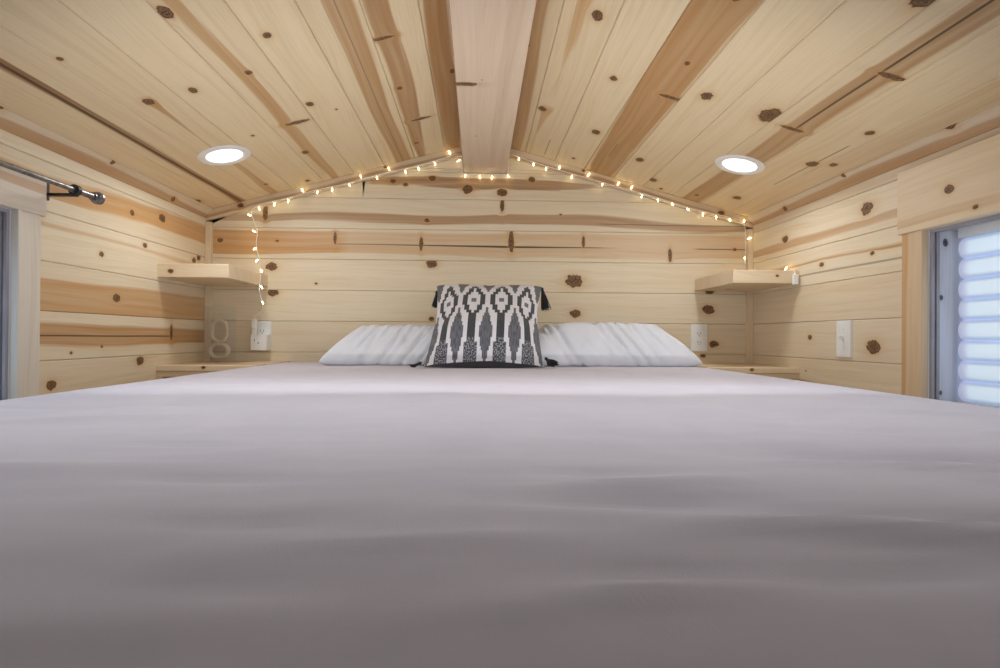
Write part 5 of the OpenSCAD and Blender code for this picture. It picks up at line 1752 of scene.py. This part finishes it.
def addTassel(bm, rng, corner, way, floor, longer, wider):
    look = cushionLook["tassel"]
    flare, length = look["flare"] * wider, look["long"] * longer
    down = way.normalized()
    knot = corner + down * 0.008
    addRod(bm, corner - down * 0.004, knot, [(0, 0.0018), (0.5, look["neck"]), (1, look["neck"] * 0.8)], 10)
    side = down.orthogonal().normalized()
    thick = look["thick"]
    for _ in range(look["strands"]):
        angle = rng.uniform(0, 2 * math.pi)
        spread = math.sqrt(rng.uniform(0, 1))
        turned = side * math.cos(angle) + down.cross(side) * math.sin(angle)
        start = knot + turned * look["neck"] * 0.6 * spread
        middle = knot + down * length * 0.5 + turned * flare * 0.7 * spread
        long = length * rng.uniform(0.85, 1.05)
        tip = knot + down * long + turned * flare * spread
        tip += Vector((rng.uniform(-1, 1), rng.uniform(-1, 1), 0)) * 0.003
        middle.z, tip.z = max(middle.z, floor + 0.008 * spread), max(tip.z, floor + 0.010 * spread)
        addRod(bm, start, middle, [(0, thick), (1, thick)], 5)
        addRod(bm, middle, tip, [(0, thick), (1, thick * 0.5)], 5)


def buildCushion():
    look = cushionLook
    low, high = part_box("accent_cushion")
    side, thick = look["side"], look["thick"]
    cut = side * 1.06
    cushion = sewnPad("accent_cushion_cloth", cut, cut, thick * look["start"], look["columns"], look["rows"])
    inflate(cushion, look["cap"], 18, look["pull"])
    fitPad(cushion, side * 0.985, side * 0.985, thick / 2 * 0.98, thick / 2 * 0.98)
    tilt = Matrix.Rotation(math.radians(look["tilt"]), 3, "X")
    centre = (low + high) / 2
    half = side / 2
    floor = quiltZ + 0.0015

    # the top leans to the right and is a little narrower, and the lower part sags onto the quilt
    def settle(x, y, z):
        crease = 0.003 * noise.noise(Vector((x * 11, y * 6, 3.0)))
        crease += 0.0012 * noise.noise(Vector((x * 40, y * 12, 8.0)))
        inner = max(0.0, 1 - abs(x) / half) * max(0.0, 1 - abs(y) / half)
        sag = min(1.0, max(0.0, (-0.05 - y) / 0.155))
        front = z * (1 - 0.35 * sag) if z > 0 else z
        arch = max(0.0, y / half) ** 3 * (look["arch"] * (x / half) ** 2 - look["rise"])
        x = x * (1 - look["taper"] * (0.5 + y / side)) + look["lean"] * y / half
        place = tilt @ Vector((x, y - arch, front - 0.045 * sag + crease * min(1, inner * 6))) + centre
        return Vector((place.x, place.y, max(place.z, floor)))

    for vert in cushion.data.vertices:
        vert.co = settle(*vert.co)
    cushion.data.materials.append(cushionMaterial())
    smoothShade(cushion)
    subdivide(cushion)
    standFor(cushion, "cushion_fabric", "accent_cushion")
    rng = random.Random(17)
    bm = bmesh.new()
    reach = half * 0.97
    for sx, sy, lift, way, longer, wider in look["tassels"]:
        corner = settle(sx * reach, sy * reach, 0.0) + upZ * lift
        addTassel(bm, rng, corner, Vector(way), floor, longer, wider)
    yarn, tree, shader = newMaterial("tasselYarn", Roughness=0.9)
    strands = noiseNode(objectPlace(tree), 420, 1)
    link(mixColor(strands, look["black"], (0.035, 0.035, 0.04, 1)), shader.inputs["Base Color"])
    standFor(addMesh("cushion_tassels", bm, yarn), "cushion_fabric")


# Shade: one cloth folded into soft lobes between its rails, with the daylight behind it painted on as a glow
# Painted light: pale and lit across the middle of each lobe; painted shade: deep and unlit at the creases,
# edge towards the hem.
# The blue of these colours is painted daylight on a white cloth.
shadeLook = {"lobes": 8, "lobePoints": 14, "columns": 26, "cloth": 0.0009,
             "pale": (0.72, 0.79, 0.88, 1), "deep": (0.56, 0.64, 0.80, 1), "lit": (0.66, 0.86, 1.0, 1),
             "unlit": (0.33, 0.43, 0.60, 1), "edge": (0.44, 0.46, 0.67, 1), "glow": 0.50}


def buildShade():
    look = shadeLook
    low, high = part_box("pleated_shade")
    lobes, points = look["lobes"], look["lobePoints"]
    tall = high.z - low.z - 0.002
    deep = high.x - low.x - 0.002
    profile = []
    for k in range(lobes * points + 1):
        lobe, share = divmod(k, points)
        angle = math.pi * share / points
        z = low.z + 0.001 + tall / lobes * (lobe + 0.5 - 0.5 * math.cos(angle))
        profile.append((high.x - 0.001 - deep * math.sin(angle) ** 0.75, z, k / points))
    arc = [0.0]
    for a, b in zip(profile, profile[1:]):
        arc.append(arc[-1] + math.hypot(b[0] - a[0], b[1] - a[1]))
    bm = bmesh.new()
    flat = []
    lines = []
    for i in range(look["columns"] + 1):
        y = low.y + 0.001 + (high.y - low.y - 0.002) * i / look["columns"]
        line = []
        for (x, z, phase), length in zip(profile, arc):
            sway = 0.0012 * noise.noise(Vector((y * 6, z * 14, 2.0)))
            line.append(bm.verts.new((min(max(x + sway, low.x + 0.001), high.x - 0.0005), y, z)))
            flat.append((y, length, phase))
        lines.append(line)
    fillGrid(bm, lines)
    material, tree, shader = newMaterial("shadeCloth", Roughness=0.7)
    u, v, phase = splitVector(attributeVector(tree, "flat"))
    turn = phase.math("FRACT")
    # painted light across the middle of each lobe, with painted shade at the creases between lobes
    paintedLightStripe = smoothStep(turn, 0.2, 0.34) * smoothStep(turn, 0.78, 0.66)
    # painted shade: towards this edge of the cloth the glow dims to lavender
    hem = smoothStep(u, high.y - 0.035, high.y - 0.012)
    weave = noiseNode(joinVector(u * 60.0, v * 500.0, 0.0), 1.0, 1)
    cloth = mixColor(paintedLightStripe, look["deep"], look["pale"])
    glow = mixColor(hem, mixColor(paintedLightStripe, look["unlit"], look["lit"]), look["edge"])
    # the emission is painted daylight coming through the cloth; the shade is no lamp
    setInputs(shader, {"Base Color": mixColor(weave * 0.3, cloth, look["deep"]), "Emission Color": glow,
                       "Emission Strength": look["glow"]})
    addBump(shader, weave, 0.0006, 0.5)
    shade = addMesh("pleated_shade_cloth", bm, material)
    storeFlat(shade.data, flat)
    smoothShade(shade, 70)
    thicken(shade, look["cloth"], 0)
    standFor(shade, "shade_cloth", "pleated_shade")


buildQuilt()
buildMattress()
print("bed made")
pillowCotton = clothMaterial("pillowCotton", pillowLook["base"], pillowLook["shade"], 1100, 7, 0.0015)
buildPillow("left_pillow_cloth", "left_pillow", pillowCotton, 3.0, 1)
buildPillow("right_pillow_cloth", "right_pillow", pillowCotton, 11.0, -1)
buildCushion()
print("pillows and cushion filled")
buildShade()
print("shade hung")

# Light: a low even world, lamps outside for the outer faces, the two round lights in the ceiling
# and soft fill inside the room
lightLook = {
    "world": 0.05, "outside": 75, "lens": 2.0, "window": 1.1, "spread": 95,
    "cool": (0.95, 0.98, 1.0), "day": (0.50, 0.72, 1.0), "white": (1.0, 1.0, 1.0),
    # outside: place, size and a share of the power
    "top": ((0.8, 1.4, 5.2), (4.0, 4.0), 1.6), "left": ((-5.0, 1.0, 2.2), (3.0, 2.5), 1.0),
    "right": ((5.0, 0.5, 2.2), (3.0, 2.5), 0.8), "back": ((0.5, 5.2, 2.2), (3.5, 2.5), 1.0),
    # soft lamps in the room: power, distance from the end wall, height over the floor, way and size
    "fill": (4.4, 1.35, 0.52, alongY, (1.5, 0.3)), "down": (3.2, 1.52, 0.90, -upZ, (1.6, 0.7)),
    "up": (1.8, 0.70, 0.26, upZ, (1.4, 0.8)),
}


def addLamp(name, place, target, size, power, color, shape="RECTANGLE"):
    data = bpy.data.lights.new(name, "AREA")
    data.shape = shape
    data.size = size[0]
    data.size_y = size[-1]
    data.energy = power
    data.color = color
    lamp = addObject(name, data)
    lamp.location = place
    lamp.rotation_mode = "QUATERNION"
    lamp.rotation_quaternion = (Vector(target) - Vector(place)).to_track_quat("-Z", "Y")
    lamp.visible_camera = False
    return lamp


def buildWorld():
    world = bpy.data.worlds.new("studio")
    bpy.context.scene.world = world
    world.use_nodes = True
    tree = world.node_tree
    camera, through, glossy = lightPath(tree, "Is Camera Ray", "Is Transmission Ray", "Is Glossy Ray")
    seen = camera.math("MAXIMUM", through).math("MAXIMUM", glossy)
    strength = seen.scaled(1 - lightLook["world"], lightLook["world"])
    setInputs(tree.nodes["Background"], {"Color": (1, 1, 1, 1), "Strength": strength})


def buildLight():
    look = lightLook
    buildWorld()
    middle = (0, 0, 0.7)
    for name in ("top", "left", "right", "back"):
        place, size, share = look[name]
        addLamp(name + "Lamp", place, middle, size, look["outside"] * share, look["white"])
    low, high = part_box("downlight_lenses")
    for sign, node in ((-1, "left"), (1, "right")):
        x = sign * (high.x - 0.055 * math.cos(roofPitch))
        y = (low.y + high.y) / 2
        place = Vector((x, y, ceilingZ(x) - 0.006))
        out = Vector((-sign * math.sin(roofPitch), 0, -math.cos(roofPitch)))
        addLamp(node + "DownLamp", place, place + out, (0.11,), look["lens"], look["cool"], "DISK")
        place = Vector((sign * (wallX + 0.058), endY - 1.42, floorZ + 0.38))
        target = place - sideX * sign - upZ * 0.3
        addLamp(node + "WindowLamp", place, target, (0.8, 0.4), look["window"], look["day"])
    for name in ("fill", "down", "up"):
        power, fromEnd, height, way, size = look[name]
        place = Vector((0, endY - fromEnd, floorZ + height))
        lamp = addLamp(name + "Lamp", place, place + way, size, power, look["cool"])
        lamp.visible_glossy = False
        if name == "down":
            lamp.data.spread = math.radians(look["spread"])


# The floor glows for the camera only, which keeps it pale out to the horizon
floorLook = {"size": 40, "color": (0.50, 0.50, 0.495, 1), "glow": (1.0, 1.0, 0.99, 1), "strength": 0.62}


def buildFloor():
    bm = bmesh.new()
    bmesh.ops.create_grid(bm, x_segments=1, y_segments=1, size=floorLook["size"])
    material, tree, shader = newMaterial("studioFloor")
    glow = lightPath(tree, "Is Camera Ray")[0] * floorLook["strength"]
    setInputs(shader, {"Base Color": floorLook["color"], "Roughness": 0.9,
                       "Emission Color": floorLook["glow"], "Emission Strength": glow})
    floor = addMesh("studioFloor", bm, material)
    floor.location.z = -0.001


buildLight()
buildFloor()
bpy.context.scene.view_settings.view_transform = "Standard"
print("light set")
